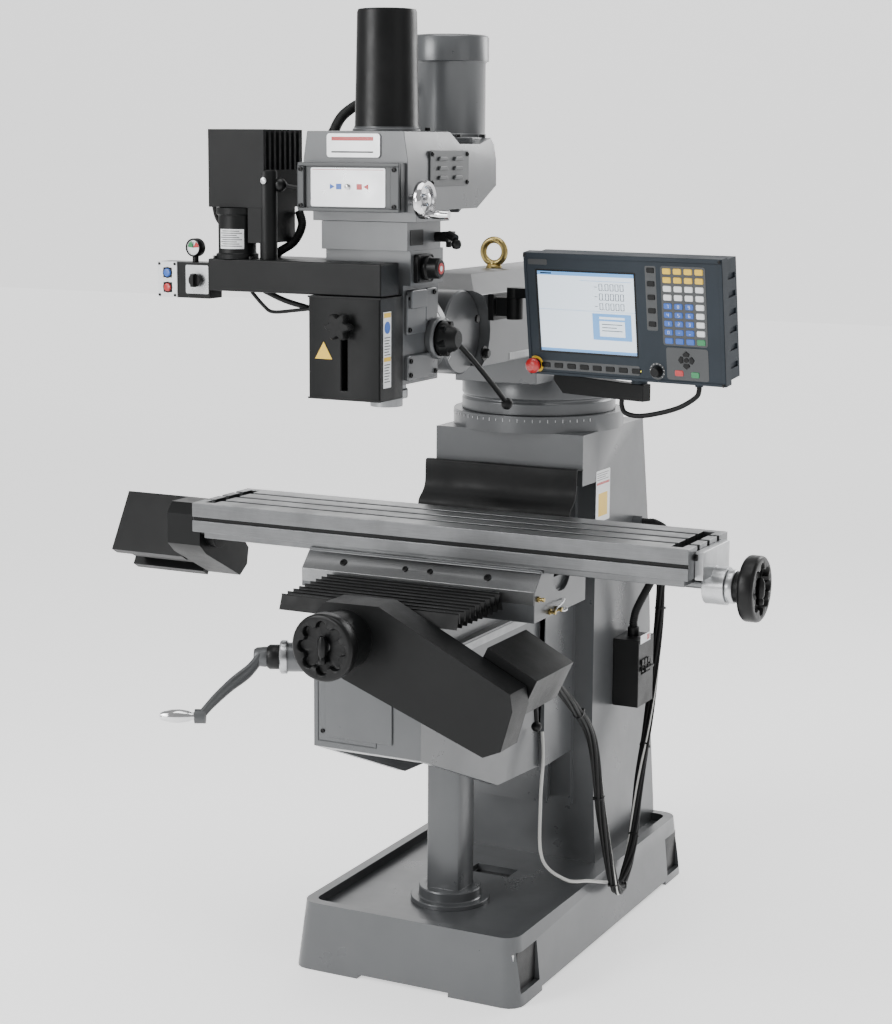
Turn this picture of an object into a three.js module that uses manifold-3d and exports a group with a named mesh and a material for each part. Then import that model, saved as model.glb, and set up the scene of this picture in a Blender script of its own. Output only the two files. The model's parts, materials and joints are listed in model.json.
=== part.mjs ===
// Vertical knee milling machine with three servo axes and a pendant console.
// Millimetres, +Z up. Shapes are written in machine coordinates (X right, Y back to the column, Z up, with
// the
// table's front edge at y = 0) and moved by ORIGIN_SHIFT so the part stands centred over the origin.
import * as THREE from 'three';
import { mergeVertices } from 'three/addons/utils/BufferGeometryUtils.js';
import Module from 'manifold-3d';

const wasm = await Module();
wasm.setup();

// ---------------------------------------------------------------- driving dimensions
const ORIGIN_SHIFT = [85, -270, 0];
const GAP = 0.3;
const CORD_GAP = 0.6;
const SEGMENTS = 20;
const FINE = 28;

const BASE = { x: 298, y0: -80, y1: 1005, z: 162, taper: 16, radius: 40, wall: 22, rim: 25, floorZ: 140,
  floorThick: 18 };
const COLUMN = { half: 200, flareHalf: 215, flareZ: 480, topZ: 1250, wall: 22 };
const WAY = { half: 110, root: 92, frontY: 499, plateY: 556, z0: 304, z1: 1125 };
const TURRET_Y = 660;
const TURRET = { seatR: 216, seatZ: 1290, discR: 195, discZ: 1389, blockHalf: 109, blockZ: 1449 };
const RAM = { half: 110, y0: 17, y1: 980, z0: 1449.3, shoulderZ: 1612, topZ: 1655, topHalf: 62 };
const NOD = { y: 40, z: 1530, r: 95, half: 85, flangeR: 100 };
const SPINDLE_Y = -160;
const SCREW_R = 12;

const SCREW_Y = 172;
const KNEE = { half: 135, y0: -250, y1: 390, topZ: 836, wayHalf: 115, wayZ: 893, clampHalf: 150,
  ceilingZ: 776 };
const PEDESTAL = { flangeR: 95, collarR: 75, post: 90, topZ: 590 };

const SADDLE = { half: 300, y0: -21, y1: 272, z0: 893, z1: 1008, seatZ: 1000.7 };
const TABLE = { x0: -618, x1: 652, y1: 254, z0: 1019.5, z1: 1090, slotPitch: 63.5, slotTop: 16,
  slotBottom: 28 };
const TABLE_MID_Y = 127;
const X_SCREW_Z = 992;
const Y_SCREW_Z = 894;
const WHEEL_R = 74;

// crank axis: unit vector pointing out of the dial, and the dial's centre
const CRANK_DIR = new THREE.Vector3(-0.9, -0.44, 0).normalize();
const CRANK_AT = new THREE.Vector3(-200, -253, 810);

// console: centre of its front panel, its yaw and backward tilt
const CONSOLE = { screen: [407.6, -7.6, 1589.5], left: -151, right: 328, bottom: -143, top: 128, bezel: 26,
  depth: 82 };
const CONSOLE_TURN = { yaw: -6.8, lean: 8.2 };
const ESTOP_AT = [-134.5, -121];
const OVERRIDE_AT = [166.6, -118];
const PIVOT_A = [165, 150];
const PIVOT_B = [300, 124];
const PIVOT_C = [508, 58];

const PAINT = { color: 0x74777b, roughness: 0.45, metalness: 0.3 };
const BLACK = { color: 0x1b1c1e, roughness: 0.5, metalness: 0.1 };
const STEEL = { color: 0xb5b7b9, roughness: 0.32, metalness: 0.9 };
const RUBBER = { color: 0x161617, roughness: 0.75, metalness: 0.0 };
const BRASS = { color: 0xa08a4a, roughness: 0.35, metalness: 0.9 };
const ALUMINIUM = { color: 0xc4c6c8, roughness: 0.35, metalness: 0.9 };
const CONSOLE_BLUE = { color: 0x3b4654, roughness: 0.5, metalness: 0.1 };
const CAST = { color: 0x5d5f61, roughness: 0.6, metalness: 0.4 };
const RED = { color: 0xb3161b, roughness: 0.4, metalness: 0.0 };
const BLUE = { color: 0x1c4f9c, roughness: 0.4, metalness: 0.0 };
const WHITE = { color: 0xd8d8d4, roughness: 0.5, metalness: 0.0 };

const object = new THREE.Group();
object.name = 'knee_mill';

// ---------------------------------------------------------------- solid helpers
function toSolid(geometry) {
  const bare = geometry.clone();
  bare.deleteAttribute('normal');
  bare.deleteAttribute('uv');
  const merged = mergeVertices(bare, 1e-4);
  const count = merged.index.count;
  const indices = [];
  for (let i = 0; i < count; i += 3) {
    const [a, b, c] = [merged.index.getX(i), merged.index.getX(i + 1), merged.index.getX(i + 2)];
    if (a !== b && b !== c && c !== a) {
      indices.push(a, b, c);
    }
  }
  const mesh = new wasm.Mesh({
    numProp: 3,
    vertProperties: new Float32Array(merged.attributes.position.array),
    triVerts: new Uint32Array(indices),
  });
  return new wasm.Manifold(mesh);
}

function toGeometry(solid) {
  const mesh = solid.getMesh();
  const geometry = new THREE.BufferGeometry();
  geometry.setAttribute('position', new THREE.BufferAttribute(new Float32Array(mesh.vertProperties), 3));
  geometry.setIndex(new THREE.BufferAttribute(new Uint32Array(mesh.triVerts), 1));
  geometry.computeVertexNormals();
  return geometry;
}

function part(name, solid, look) {
  const geometry = toGeometry(solid.translate(ORIGIN_SHIFT));
  const mesh = new THREE.Mesh(geometry, new THREE.MeshStandardMaterial(look));
  mesh.name = name;
  object.add(mesh);
}

function join(...solids) {
  return solids.reduce((sum, solid) => sum.add(solid));
}

function cut(solid, ...tools) {
  return tools.reduce((rest, tool) => rest.subtract(tool), solid);
}

function boxAt(x0, x1, y0, y1, z0, z1) {
  const geometry = new THREE.BoxGeometry(x1 - x0, y1 - y0, z1 - z0);
  geometry.translate((x0 + x1) / 2, (y0 + y1) / 2, (z0 + z1) / 2);
  return toSolid(geometry);
}

function shapeOf(points) {
  return new THREE.Shape(points.map(([u, v]) => new THREE.Vector2(u, v)));
}

// a closed outline of (y, z) points pushed along X
function extrudeX(points, x0, x1) {
  const geometry = new THREE.ExtrudeGeometry(shapeOf(points), { depth: x1 - x0, bevelEnabled: false });
  const basis = new THREE.Matrix4().set(0, 0, 1, x0, 1, 0, 0, 0, 0, 1, 0, 0, 0, 0, 0, 1);
  geometry.applyMatrix4(basis);
  return toSolid(geometry);
}

// a closed outline of (x, z) points pushed along Y
function extrudeY(points, y0, y1) {
  const geometry = new THREE.ExtrudeGeometry(shapeOf(points), { depth: y1 - y0, bevelEnabled: false });
  const basis = new THREE.Matrix4().set(1, 0, 0, 0, 0, 0, -1, y1, 0, 1, 0, 0, 0, 0, 0, 1);
  geometry.applyMatrix4(basis);
  return toSolid(geometry);
}

// a closed outline of (x, y) points pushed along Z
function extrudeZ(points, z0, z1) {
  const geometry = new THREE.ExtrudeGeometry(shapeOf(points), { depth: z1 - z0, bevelEnabled: false });
  geometry.translate(0, 0, z0);
  return toSolid(geometry);
}

function roundedOutline(x0, x1, y0, y1, radius, steps = 4) {
  const corners = [[x1 - radius, y1 - radius, 0], [x0 + radius, y1 - radius, 90],
    [x0 + radius, y0 + radius, 180], [x1 - radius, y0 + radius, 270]];
  const points = [];
  for (const [cx, cy, start] of corners) {
    for (let i = 0; i <= steps; i += 1) {
      const angle = THREE.MathUtils.degToRad(start + (90 * i) / steps);
      points.push([cx + radius * Math.cos(angle), cy + radius * Math.sin(angle)]);
    }
  }
  return points;
}

// cylinder between two points
function rod(from, to, radius, segments = SEGMENTS, endRadius = radius) {
  const a = new THREE.Vector3(...from);
  const b = new THREE.Vector3(...to);
  const axis = b.clone().sub(a);
  const geometry = new THREE.CylinderGeometry(endRadius, radius, axis.length(), segments);
  const turn = new THREE.Quaternion().setFromUnitVectors(new THREE.Vector3(0, 1, 0),
    axis.clone().normalize());
  geometry.applyQuaternion(turn);
  const middle = a.add(b).multiplyScalar(0.5);
  geometry.translate(middle.x, middle.y, middle.z);
  return toSolid(geometry);
}

function ball(at, radius, segments = 14) {
  const geometry = new THREE.SphereGeometry(radius, segments, 10);
  geometry.translate(...at);
  return toSolid(geometry);
}

// rectangular bar between two points; width lies across the horizontal
function bar(from, to, width, thick) {
  const a = new THREE.Vector3(...from);
  const b = new THREE.Vector3(...to);
  const axis = b.clone().sub(a);
  const side = new THREE.Vector3(0, 0, 1).cross(axis).normalize();
  const top = axis.clone().normalize().cross(side);
  const geometry = new THREE.BoxGeometry(axis.length(), width, thick);
  const basis = new THREE.Matrix4().makeBasis(axis.clone().normalize(), side, top);
  geometry.applyMatrix4(basis);
  const middle = a.add(b).multiplyScalar(0.5);
  geometry.translate(middle.x, middle.y, middle.z);
  return toSolid(geometry);
}

// round tube or cord along a smooth line through points
function tube(points, radius, sides, steps) {
  const curve = new THREE.CatmullRomCurve3(points.map((p) => new THREE.Vector3(...p)), false, 'centripetal');
  const ring = [];
  for (let i = 0; i < sides; i += 1) {
    const angle = (2 * Math.PI * i) / sides;
    ring.push([radius * Math.cos(angle), radius * Math.sin(angle)]);
  }
  const geometry = new THREE.ExtrudeGeometry(shapeOf(ring), { steps, extrudePath: curve,
    bevelEnabled: false });
  return toSolid(geometry);
}

// shape turned about an axis through `at` along `direction`; profile is (radius, distance along) from axis
// to axis
function turned(profile, at, direction, segments = SEGMENTS) {
  const points = profile.map(([r, h]) => new THREE.Vector2(r, h));
  const geometry = new THREE.LatheGeometry(points, segments);
  const turn = new THREE.Quaternion().setFromUnitVectors(new THREE.Vector3(0, 1, 0), direction);
  geometry.applyQuaternion(turn);
  geometry.translate(...at);
  return toSolid(geometry);
}

const AXIS_X = new THREE.Vector3(1, 0, 0);
const AXIS_Y = new THREE.Vector3(0, 1, 0);
const AXIS_Z = new THREE.Vector3(0, 0, 1);

// outline of a thin sheet that follows a line of points
function ribbon(points, thickness) {
  const offsets = points.map(([u, v], i) => {
    const [pu, pv] = points[Math.max(i - 1, 0)];
    const [nu, nv] = points[Math.min(i + 1, points.length - 1)];
    const length = Math.hypot(nu - pu, nv - pv);
    return [u - ((nv - pv) / length) * thickness, v + ((nu - pu) / length) * thickness];
  });
  return [...points, ...offsets.reverse()];
}

// rounded block whose top is smaller than its foot by `inset` on every side
function taperedSlab(x, y0, y1, z0, z1, inset, radius) {
  const outline = roundedOutline(-x, x, y0, y1, radius);
  const geometry = new THREE.ExtrudeGeometry(shapeOf(outline), { depth: z1 - z0, bevelEnabled: false });
  const middleY = (y0 + y1) / 2;
  const position = geometry.attributes.position;
  for (let i = 0; i < position.count; i += 1) {
    const share = position.getZ(i) / (z1 - z0);
    position.setX(i, position.getX(i) * (1 - (share * inset) / x));
    position.setY(i, middleY + (position.getY(i) - middleY) * (1 - (share * inset * 2) / (y1 - y0)));
  }
  geometry.translate(0, 0, z0);
  return toSolid(geometry);
}

// ---------------------------------------------------------------- base, column and what stands on them
function baseColumn() {
  const { x, y0, y1, z, taper, radius, wall, rim, floorZ, floorThick } = BASE;
  const slab = taperedSlab(x, y0, y1, 0, z, taper, radius);
  const inset = taper + rim;
  const panOutline = roundedOutline(-x + inset, x - inset, y0 + inset, y1 - inset, 22);
  const pan = extrudeZ(panOutline, floorZ, z + 1);
  const hollow = boxAt(-x + wall, x - wall, y0 + wall, y1 - wall, -1, floorZ - floorThick);
  const side = [[570, floorZ - 1], [570, WAY.z1], [480, WAY.z1], [480, COLUMN.topZ], [876, COLUMN.topZ],
    [929, 973], [961, 696], [984, 192], [984, floorZ - 1]];
  const front = [[-COLUMN.flareHalf, floorZ - 1], [COLUMN.flareHalf, floorZ - 1],
    [COLUMN.half, COLUMN.flareZ], [COLUMN.half, COLUMN.topZ],
    [-COLUMN.half, COLUMN.topZ], [-COLUMN.half, COLUMN.flareZ]];
  const column = extrudeX(side, -250, 250).intersect(extrudeY(front, 400, 1000));
  const inner = COLUMN.half - COLUMN.wall;
  const cavity = extrudeX([[592, 100], [592, 1150], [510, 1150], [510, 1228], [850, 1228], [905, 973],
    [938, 696], [962, 192], [962, 100]], -inner, inner);
  const plate = boxAt(-KNEE.clampHalf, KNEE.clampHalf, WAY.plateY, 571, 288, WAY.z1 + 1);
  const way = extrudeZ([[-WAY.half, WAY.frontY], [WAY.half, WAY.frontY], [WAY.root, 557], [-WAY.root, 557]],
    WAY.z0, WAY.z1 + 1);
  const seat = rod([0, TURRET_Y, COLUMN.topZ - 1], [0, TURRET_Y, TURRET.seatZ], TURRET.seatR, FINE);
  const glands = join(rod([195, 885, 930], [224, 885, 930], 20), rod([195, 830, 985], [224, 830, 985], 16));
  const body = cut(slab, pan).add(cut(column.add(plate), cavity)).add(way).add(seat).add(glands);
  const drain = boxAt(-50, 63, 371, 431, floorZ - floorThick - 2, floorZ + 1);
  const screwHole = rod([0, SCREW_Y, 110], [0, SCREW_Y, floorZ + 1], 30);
  const frontNotch = boxAt(-120, 120, y0 - 20, y1 + 20, -1, 10);
  const sideNotch = boxAt(-x - 20, x + 20, 60, 868, -1, 10);
  const pockets = join(boxAt(x - 17, x + 5, -50, 50, 30, 125), boxAt(x - 17, x + 5, 885, 975, 20, 120));
  const panThroat = boxAt(-inner, inner, 592, 962, 100, floorZ + 2);
  part('base_column', cut(body, hollow, panThroat, drain, screwHole, frontNotch, sideNotch, pockets), PAINT);
}

function pedestal() {
  const { flangeR, collarR, post, topZ } = PEDESTAL;
  const foot = BASE.floorZ + GAP;
  const flange = rod([0, SCREW_Y, foot], [0, SCREW_Y, foot + 10], flangeR);
  const collar = rod([0, SCREW_Y, foot], [0, SCREW_Y, 176], collarR);
  const h = post / 2;
  const column = extrudeZ(roundedOutline(-h, h, SCREW_Y - h, SCREW_Y + h, 12, 2), foot, topZ);
  const bore = rod([0, SCREW_Y, foot - 1], [0, SCREW_Y, topZ - 50], 26);
  const nut = rod([0, SCREW_Y, topZ - 60], [0, SCREW_Y, topZ + 1], SCREW_R + 6.6);
  part('pedestal', cut(join(flange, collar, column), bore, nut), PAINT);
}

function chipGuard() {
  const line = [[479.6, 1166], [446, 1170], [440, 1160], [437, 1115], [424, 1092], [407, 1077], [400, 1062],
    [403, 1035], [411, 1000], [414, 897]];
  part('chip_guard', extrudeX(ribbon(line, 3), -209, 202), RUBBER);
}

const BREAKER = { x0: COLUMN.half + GAP, x1: 271, y0: 700, y1: 805, z0: 524, z1: 700 };
const TOGGLE = { x: 262, z: 622, y0: 724, y1: 781 };

function breaker() {
  const { x0, x1, y0, y1, z0, z1 } = BREAKER;
  const box = boxAt(x0, x1, y0, y1, z0, z1);
  const slot = boxAt(TOGGLE.x - 12, x1 + 1, TOGGLE.y0 - 4, TOGGLE.y1 + 4, TOGGLE.z - 14, TOGGLE.z + 14);
  const gland = rod([236, 750, z1 - 1], [236, 750, z1 + 25], 15);
  part('breaker_box', cut(box, slot).add(gland), BLACK);
  const barrel = rod([TOGGLE.x, TOGGLE.y0, TOGGLE.z], [TOGGLE.x, TOGGLE.y1, TOGGLE.z], 7, 12);
  const lever = boxAt(TOGGLE.x, x1 + 12, TOGGLE.y0, TOGGLE.y1, TOGGLE.z - 3, TOGGLE.z + 3);
  part('breaker_toggle', barrel.add(lever), BLACK);
  const line = [[236, 750, z1 + 25 + CORD_GAP], [236, 750, 740], [242, 760, 775], [270, 795, 850], [292,
    822, 920],
    [286, 830, 968], [258, 830, 985], [240, 830, 985], [224 + CORD_GAP, 830, 985]];
  part('breaker_conduit', tube(line, 11, 10, 24), BLACK);
}

function floorCables() {
  const bundle = [[330, -60 + CORD_GAP, 776], [330, -45, 776], [331, -20, 770], [332, 25, 748], [331, 140,
    668], [330, 256, 560], [330, 326, 352],
    [330, 405, 170], [322, 470, 118], [308, 540, 130], [300, 610, 195], [280, 700, 330], [262, 810, 490],
    [246, 905, 700], [250, 905, 850], [258, 890, 918], [242, 885, 930],
    [224 + CORD_GAP, 885, 930]];
  part('servo_cable_bundle', tube(bundle, 13, 10, 56), RUBBER);
  const lead = [[160, 350, 534], [172, 330, 470], [180, 300, 370], [208, 250, 250], [255, 286, 192], [290,
    345, 176],
    [303, 395, 160], [305, 430, 148]];
  part('thin_cable', tube(lead, 4, 8, 34), WHITE);
}

// ---------------------------------------------------------------- knee
function kneeCasting() {
  const { half, y0, y1, topZ, wayHalf, wayZ, clampHalf, ceilingZ } = KNEE;
  const body = extrudeX([[y0, topZ], [y0, 613], [150, 449], [y1, 434], [y1, topZ]], -half, half);
  const top = boxAt(-wayHalf, wayHalf, y0, y1 + 90, topZ - 1, wayZ);
  const clamp = boxAt(-clampHalf, clampHalf, 383, WAY.plateY - GAP - 0.2, 434, topZ);
  const cavity = extrudeX([[-200, ceilingZ], [-200, 400], [350, 400], [350, ceilingZ]], -113, 113);
  const dovetail = extrudeZ([[-WAY.half - GAP, WAY.frontY - GAP], [WAY.half + GAP, WAY.frontY - GAP],
    [WAY.root + GAP, 560], [-WAY.root - GAP, 560]], 400, 900);
  const channel = boxAt(-18, 18, y0 - 1, 420, Y_SCREW_Z - 20, wayZ + 1);
  const screwBore = rod([0, SCREW_Y, 770], [0, SCREW_Y, 802], 31);
  const dial = CRANK_AT;
  const inside = dial.clone().addScaledVector(CRANK_DIR, -150);
  const boss = rod(inside.toArray(), dial.toArray(), 33).intersect(boxAt(-300, -half + 10, -400, 0, 700,
    900));
  const leverBoss = rod([half - 5, 317, 640], [half + 8, 317, 640], 20);
  part('knee_casting', cut(join(body, top, clamp, boss, leverBoss), cavity, dovetail, channel, screwBore),
    PAINT);
  part('knee_front_panel', boxAt(-102, 65, y0 - 5, y0 - GAP, 640, 790), PAINT);
}

function kneeDrive() {
  const shaftBottom = 240;
  const screw = rod([0, SCREW_Y, shaftBottom], [0, SCREW_Y, 790], 18);
  const collar = rod([0, SCREW_Y, KNEE.ceilingZ + 1], [0, SCREW_Y, 800], 29);
  part('elevating_screw', screw.add(collar), STEEL);
  const at = (t) => CRANK_AT.clone().addScaledVector(CRANK_DIR, t).toArray();
  const dialPlate = rod(at(GAP), at(16), 38);
  const hub = rod(at(15), at(75), 20, SEGMENTS, 15);
  const arm = bar(at(62), CRANK_ARM_END, 30, 15);
  const eye = rod(alongCrank(CRANK_ARM_END, -12), alongCrank(CRANK_ARM_END, 12), 17);
  part('knee_crank', join(dialPlate, hub, arm, eye), CAST);
  const grip = turned([[0, 12 + GAP], [8, 12 + GAP], [13, 26], [15, 60], [11, 84], [0, 90]], CRANK_ARM_END,
    CRANK_DIR, 16);
  part('crank_grip', grip, ALUMINIUM);
  const lever = join(rod([KNEE.half + 8 + GAP, 317, 640], [KNEE.half + 24, 317, 640], 15),
    rod([152, 317, 640], [162, 311, 562], 5, 12), ball([162, 310, 557], 13));
  part('knee_lock_lever', lever, BLACK);
}

const CRANK_ARM_END = [-320, -430, 700];

function alongCrank(point, t) {
  return new THREE.Vector3(...point).addScaledVector(CRANK_DIR, t).toArray();
}

const Y_COVER = [[-75, 860], [-75, 945], [-50, 970], [80, 972], [392, 817], [398, 780], [372, 690],
  [330, 672],
  [-8, 803], [-60, 835]];
const Y_BOX = [[298, 889], [414, 828], [374, 743], [268, 830]];
const Y_MOTOR = [290, 768];

function yDrive() {
  const coverBack = -262;
  const cover = extrudeY(Y_COVER, -345, coverBack);
  const pad = boxAt(-60, 60, coverBack - 1, KNEE.y0 - GAP, 806, 888);
  const boss = rod([0, -405, Y_SCREW_Z], [0, -344, Y_SCREW_Z], 65);
  const bore = rod([0, -410, Y_SCREW_Z], [0, KNEE.y0, Y_SCREW_Z], SCREW_R + 3);
  part('y_belt_cover', cut(join(cover, pad, boss), bore), BLACK);
  const [mx, mz] = Y_MOTOR;
  part('y_servo_motor', rod([mx, coverBack + GAP, mz], [mx, -75, mz], 41), BLACK);
  const housing = extrudeY(Y_BOX, -258, -60 - GAP);
  part('y_servo_amplifier', cut(housing, rod([mx, -270, mz], [mx, -50, mz], 41 + GAP)), BLACK);
  part('y_screw', rod([0, -434, Y_SCREW_Z], [0, 340, Y_SCREW_Z], SCREW_R), STEEL);
  handWheel('y', [0, -411, Y_SCREW_Z], new THREE.Vector3(0, -1, 0));
}

// handwheel with a smooth rim, and a lobed recess in its face where the folded handle lies
function handWheel(axisName, at, outward, extra) {
  const rim = 40;
  const recessFloor = 24;
  const recessR = WHEEL_R - 28;
  const profile = [[0, 0], [48, 0], [WHEEL_R - 4, 6], [WHEEL_R, 12], [WHEEL_R, rim - 6],
    [WHEEL_R - 6, rim], [0, rim]];
  const side = axisName === 'y' ? AXIS_X : AXIS_Y;
  const along = (depth) => new THREE.Vector3(...at).addScaledVector(outward, depth);
  const lobes = 8;
  const tools = [rod(along(recessFloor).toArray(), along(rim + 1).toArray(), recessR)];
  for (let i = 0; i < lobes; i += 1) {
    const angle = (2 * Math.PI * i) / lobes;
    const offset = side.clone().multiplyScalar(Math.cos(angle)).addScaledVector(AXIS_Z, Math.sin(angle));
    const from = along(recessFloor).addScaledVector(offset, recessR);
    const to = along(rim + 1).addScaledVector(offset, recessR);
    tools.push(rod(from.toArray(), to.toArray(), 13, 12));
  }
  tools.push(rod(at, along(rim).toArray(), SCREW_R + GAP));
  const wheel = cut(turned(profile, at, outward, FINE), ...tools);
  const pivot = along(recessFloor + 11.5).addScaledVector(AXIS_Z, -28);
  const grip = turned([[0, -6], [9, -6], [11, 10], [11, 40], [6, 54], [0, 54]], pivot.toArray(), AXIS_Z, 12);
  part(`${axisName}_handwheel`, extra ? wheel.add(extra) : wheel, BLACK);
  part(`${axisName}_wheel_handle`, grip, BLACK);
}

function wayBellows() {
  const pleats = 9;
  const line = [];
  for (let i = 0; i <= pleats * 2; i += 1) {
    const share = i / (pleats * 2);
    line.push([-23 - share * 230, i % 2 === 0 ? 916 : 950 + 10 * (1 - share)]);
  }
  part('way_bellows', extrudeX(ribbon(line.reverse(), 1.6), -223, 223), RUBBER);
}

// ---------------------------------------------------------------- saddle and table
function saddle() {
  const { half, y0, y1, z0, z1, seatZ } = SADDLE;
  const outline = [[y0, z0], [y0, 964], [15, 1001], [15, z1], [24, z1], [24, seatZ], [230, seatZ], [230, z1],
    [y1, z1], [y1, z0]];
  const body = extrudeX(outline, -half, half);
  const xChannel = boxAt(-half - 1, half + 1, TABLE_MID_Y - 16, TABLE_MID_Y + 16, X_SCREW_Z - 16, z1);
  const yChannel = boxAt(-18, 18, y0 - 1, y1 + 1, z0 - 1, Y_SCREW_Z + 18);
  const relief = rod([half - 11, 131, X_SCREW_Z], [half + 1, 131, X_SCREW_Z], 51);
  const lowerLeft = boxAt(-half - 1, -KNEE.clampHalf - 90, y0 - 1, y1 + 1, z0 - 1, z0 + 28);
  part('saddle', cut(body, xChannel, yChannel, relief, lowerLeft), PAINT);
}

function table() {
  const { x0, x1, y1, z0, z1, slotPitch, slotTop, slotBottom } = TABLE;
  const slab = boxAt(x0, x1, 0, y1, z0, z1);
  const slide = boxAt(x0 + 18, x1 - 17, 25, 229, 1001, z0 + 1);
  const tools = [boxAt(x0, x1, TABLE_MID_Y - 16, TABLE_MID_Y + 16, 1000, 1008)];
  for (const offset of [-slotPitch, 0, slotPitch]) {
    const mid = TABLE_MID_Y + offset;
    tools.push(boxAt(x0 - 1, x1 + 1, mid - slotTop / 2, mid + slotTop / 2, z1 - 18, z1 + 1));
    tools.push(boxAt(x0 - 1, x1 + 1, mid - slotBottom / 2, mid + slotBottom / 2, z1 - 29, z1 - 17));
  }
  for (const [a, b] of [[x0 + 22, x0 + 50], [x1 - 50, x1 - 22]]) {
    tools.push(boxAt(a, b, 22, y1 - 22, z1 - 31, z1 + 1));
  }
  tools.push(boxAt(x0 - 1, x1 + 1, -1, 5, 1047, 1056));
  part('table', cut(slab.add(slide), ...tools), STEEL);
}

const X_COVER = [[66, 971], [66, 1046], [88, 1072], [165, 1072], [292, 930], [284, 888], [250, 865],
  [95, 945]];

function xDrive() {
  const screwAt = (x) => [x, TABLE_MID_Y, X_SCREW_Z];
  const end = TABLE.x1 + GAP;
  const plate = boxAt(end, 672, 41, 213, 1016, 1079);
  const hub = rod(screwAt(end), screwAt(702), 43);
  part('x_end_bracket', cut(plate.add(hub), rod(screwAt(640), screwAt(710), SCREW_R + 3)), STEEL);
  const cover = extrudeX(X_COVER, -735, -640);
  const boss = rod(screwAt(-641), screwAt(TABLE.x0 - GAP), 34);
  const mount = boxAt(-641, TABLE.x0 - GAP, 70, 180, 1000, 1070);
  const bore = rod(screwAt(-700), screwAt(-600), SCREW_R + 3);
  part('x_belt_cover', cut(join(cover, boss, mount), bore), BLACK);
  const [my, mz] = X_MOTOR;
  part('x_servo_motor', rod([-935, my, mz], [-735 - GAP, my, mz], 41), BLACK);
  const [cy, cz] = X_BOX_CORNER;
  const along = (a, up) => [cy + 0.87 * a + 0.5 * up, cz - 0.5 * a + 0.87 * up];
  const block = extrudeX([along(0, 0), along(134, 0), along(134, 160), along(0, 160)], -956, -742);
  const open = extrudeX([along(26, -2), along(108, -2), along(108, 48), along(26, 48)], -957, -741);
  const round = rod([-957, my, mz], [-741, my, mz], 41 + GAP);
  const fins = [];
  for (let i = 0; i < 8; i += 1) {
    const a = 8 + i * 16;
    fins.push(extrudeX([along(a, 106), along(a + 8, 106), along(a + 8, 161), along(a, 161)], -957, -938));
  }
  part('x_servo_amplifier', cut(block, open, round, ...fins), BLACK);
  part('x_screw', rod(screwAt(-690), screwAt(761), SCREW_R), STEEL);
  const dial = cut(rod(screwAt(703), screwAt(737), 38), rod(screwAt(700), screwAt(740), SCREW_R + GAP));
  handWheel('x', screwAt(738), AXIS_X, dial.add(cut(rod(screwAt(736), screwAt(739), 30),
    rod(screwAt(730), screwAt(745), SCREW_R + GAP))));
}

const X_MOTOR = [223, 933];
const X_BOX_CORNER = [140, 922];

// ---------------------------------------------------------------- turret, ram and nodding adapter
function turretAndRam() {
  const { discR, discZ, seatZ, blockHalf, blockZ } = TURRET;
  const disc = rod([0, TURRET_Y, seatZ + GAP], [0, TURRET_Y, discZ], discR, FINE);
  const block = boxAt(-blockHalf, blockHalf, TURRET_Y - 260, TURRET_Y + 190, discZ - 12, blockZ);
  part('turret', disc.add(block), PAINT);
  const { half, y0, y1, z0, shoulderZ, topZ, topHalf } = RAM;
  const front = [[-half, z0], [half, z0], [half, shoulderZ], [topHalf, topZ], [-topHalf, topZ],
    [-half, shoulderZ]];
  const side = [[y0, z0], [y1, z0], [y1, topZ], [130, topZ], [70, 1622], [y0, 1622]];
  const body = extrudeY(front, y0, y1).intersect(extrudeX(side, -half - 1, half + 1));
  const seatR = (NOD.r + GAP) / Math.cos(Math.PI / FINE);
  const seat = rod([-half - 1, NOD.y, NOD.z], [half + 1, NOD.y, NOD.z], seatR, FINE);
  part('ram', cut(body, seat), PAINT);
  const eyeProfile = [];
  for (let i = 0; i <= 10; i += 1) {
    const angle = (2 * Math.PI * i) / 10;
    eyeProfile.push([28 + 8 * Math.cos(angle), 8 * Math.sin(angle)]);
  }
  const eye = turned(eyeProfile, [0, 385, 1694], AXIS_Y, 20);
  const stem = join(rod([0, 385, topZ + GAP], [0, 385, topZ + 8], 19), rod([0, 385, topZ + 7], [0, 385,
    1668], 11));
  part('lifting_eyebolt', eye.add(stem), BRASS);
  const { y, z, r, flangeR } = NOD;
  const drum = rod([-NOD.half, y, z], [NOD.half, y, z], r, FINE);
  const neck = rod([0, y, z], [0, -60, z], 80, FINE);
  const flange = rod([0, -56, z], [0, -80, z], flangeR, FINE);
  part('ram_adapter', join(drum, neck, flange), PAINT);
}

// ---------------------------------------------------------------- head
const HOUSING_TOP = 1784;

function quillHousing() {
  const back = -80 - GAP;
  const lower = boxAt(-85, 85, -245, back, 1438, 1652);
  const middle = boxAt(-103, 103, -245, back - 12, 1650, 1726);
  const upper = boxAt(-104, 104, -262, -107, 1724, HOUSING_TOP);
  const quillBore = rod([0, SPINDLE_Y, 1437], [0, SPINDLE_Y, 1662], 43 + GAP, FINE);
  const stemSlot = boxAt(-7, 7, -246, SPINDLE_Y, 1430, 1590);
  const feedBoss = rod([80, -100, 1528], [104, -100, 1528], 42).intersect(boxAt(0, 200, -300, back, 1400,
    1700));
  const adapterPad = rod([0, back, NOD.z], [0, back - 12, NOD.z], NOD.flangeR, FINE);
  part('quill_housing', cut(join(lower, middle, upper, feedBoss, adapterPad), quillBore, stemSlot), PAINT);
}

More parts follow.
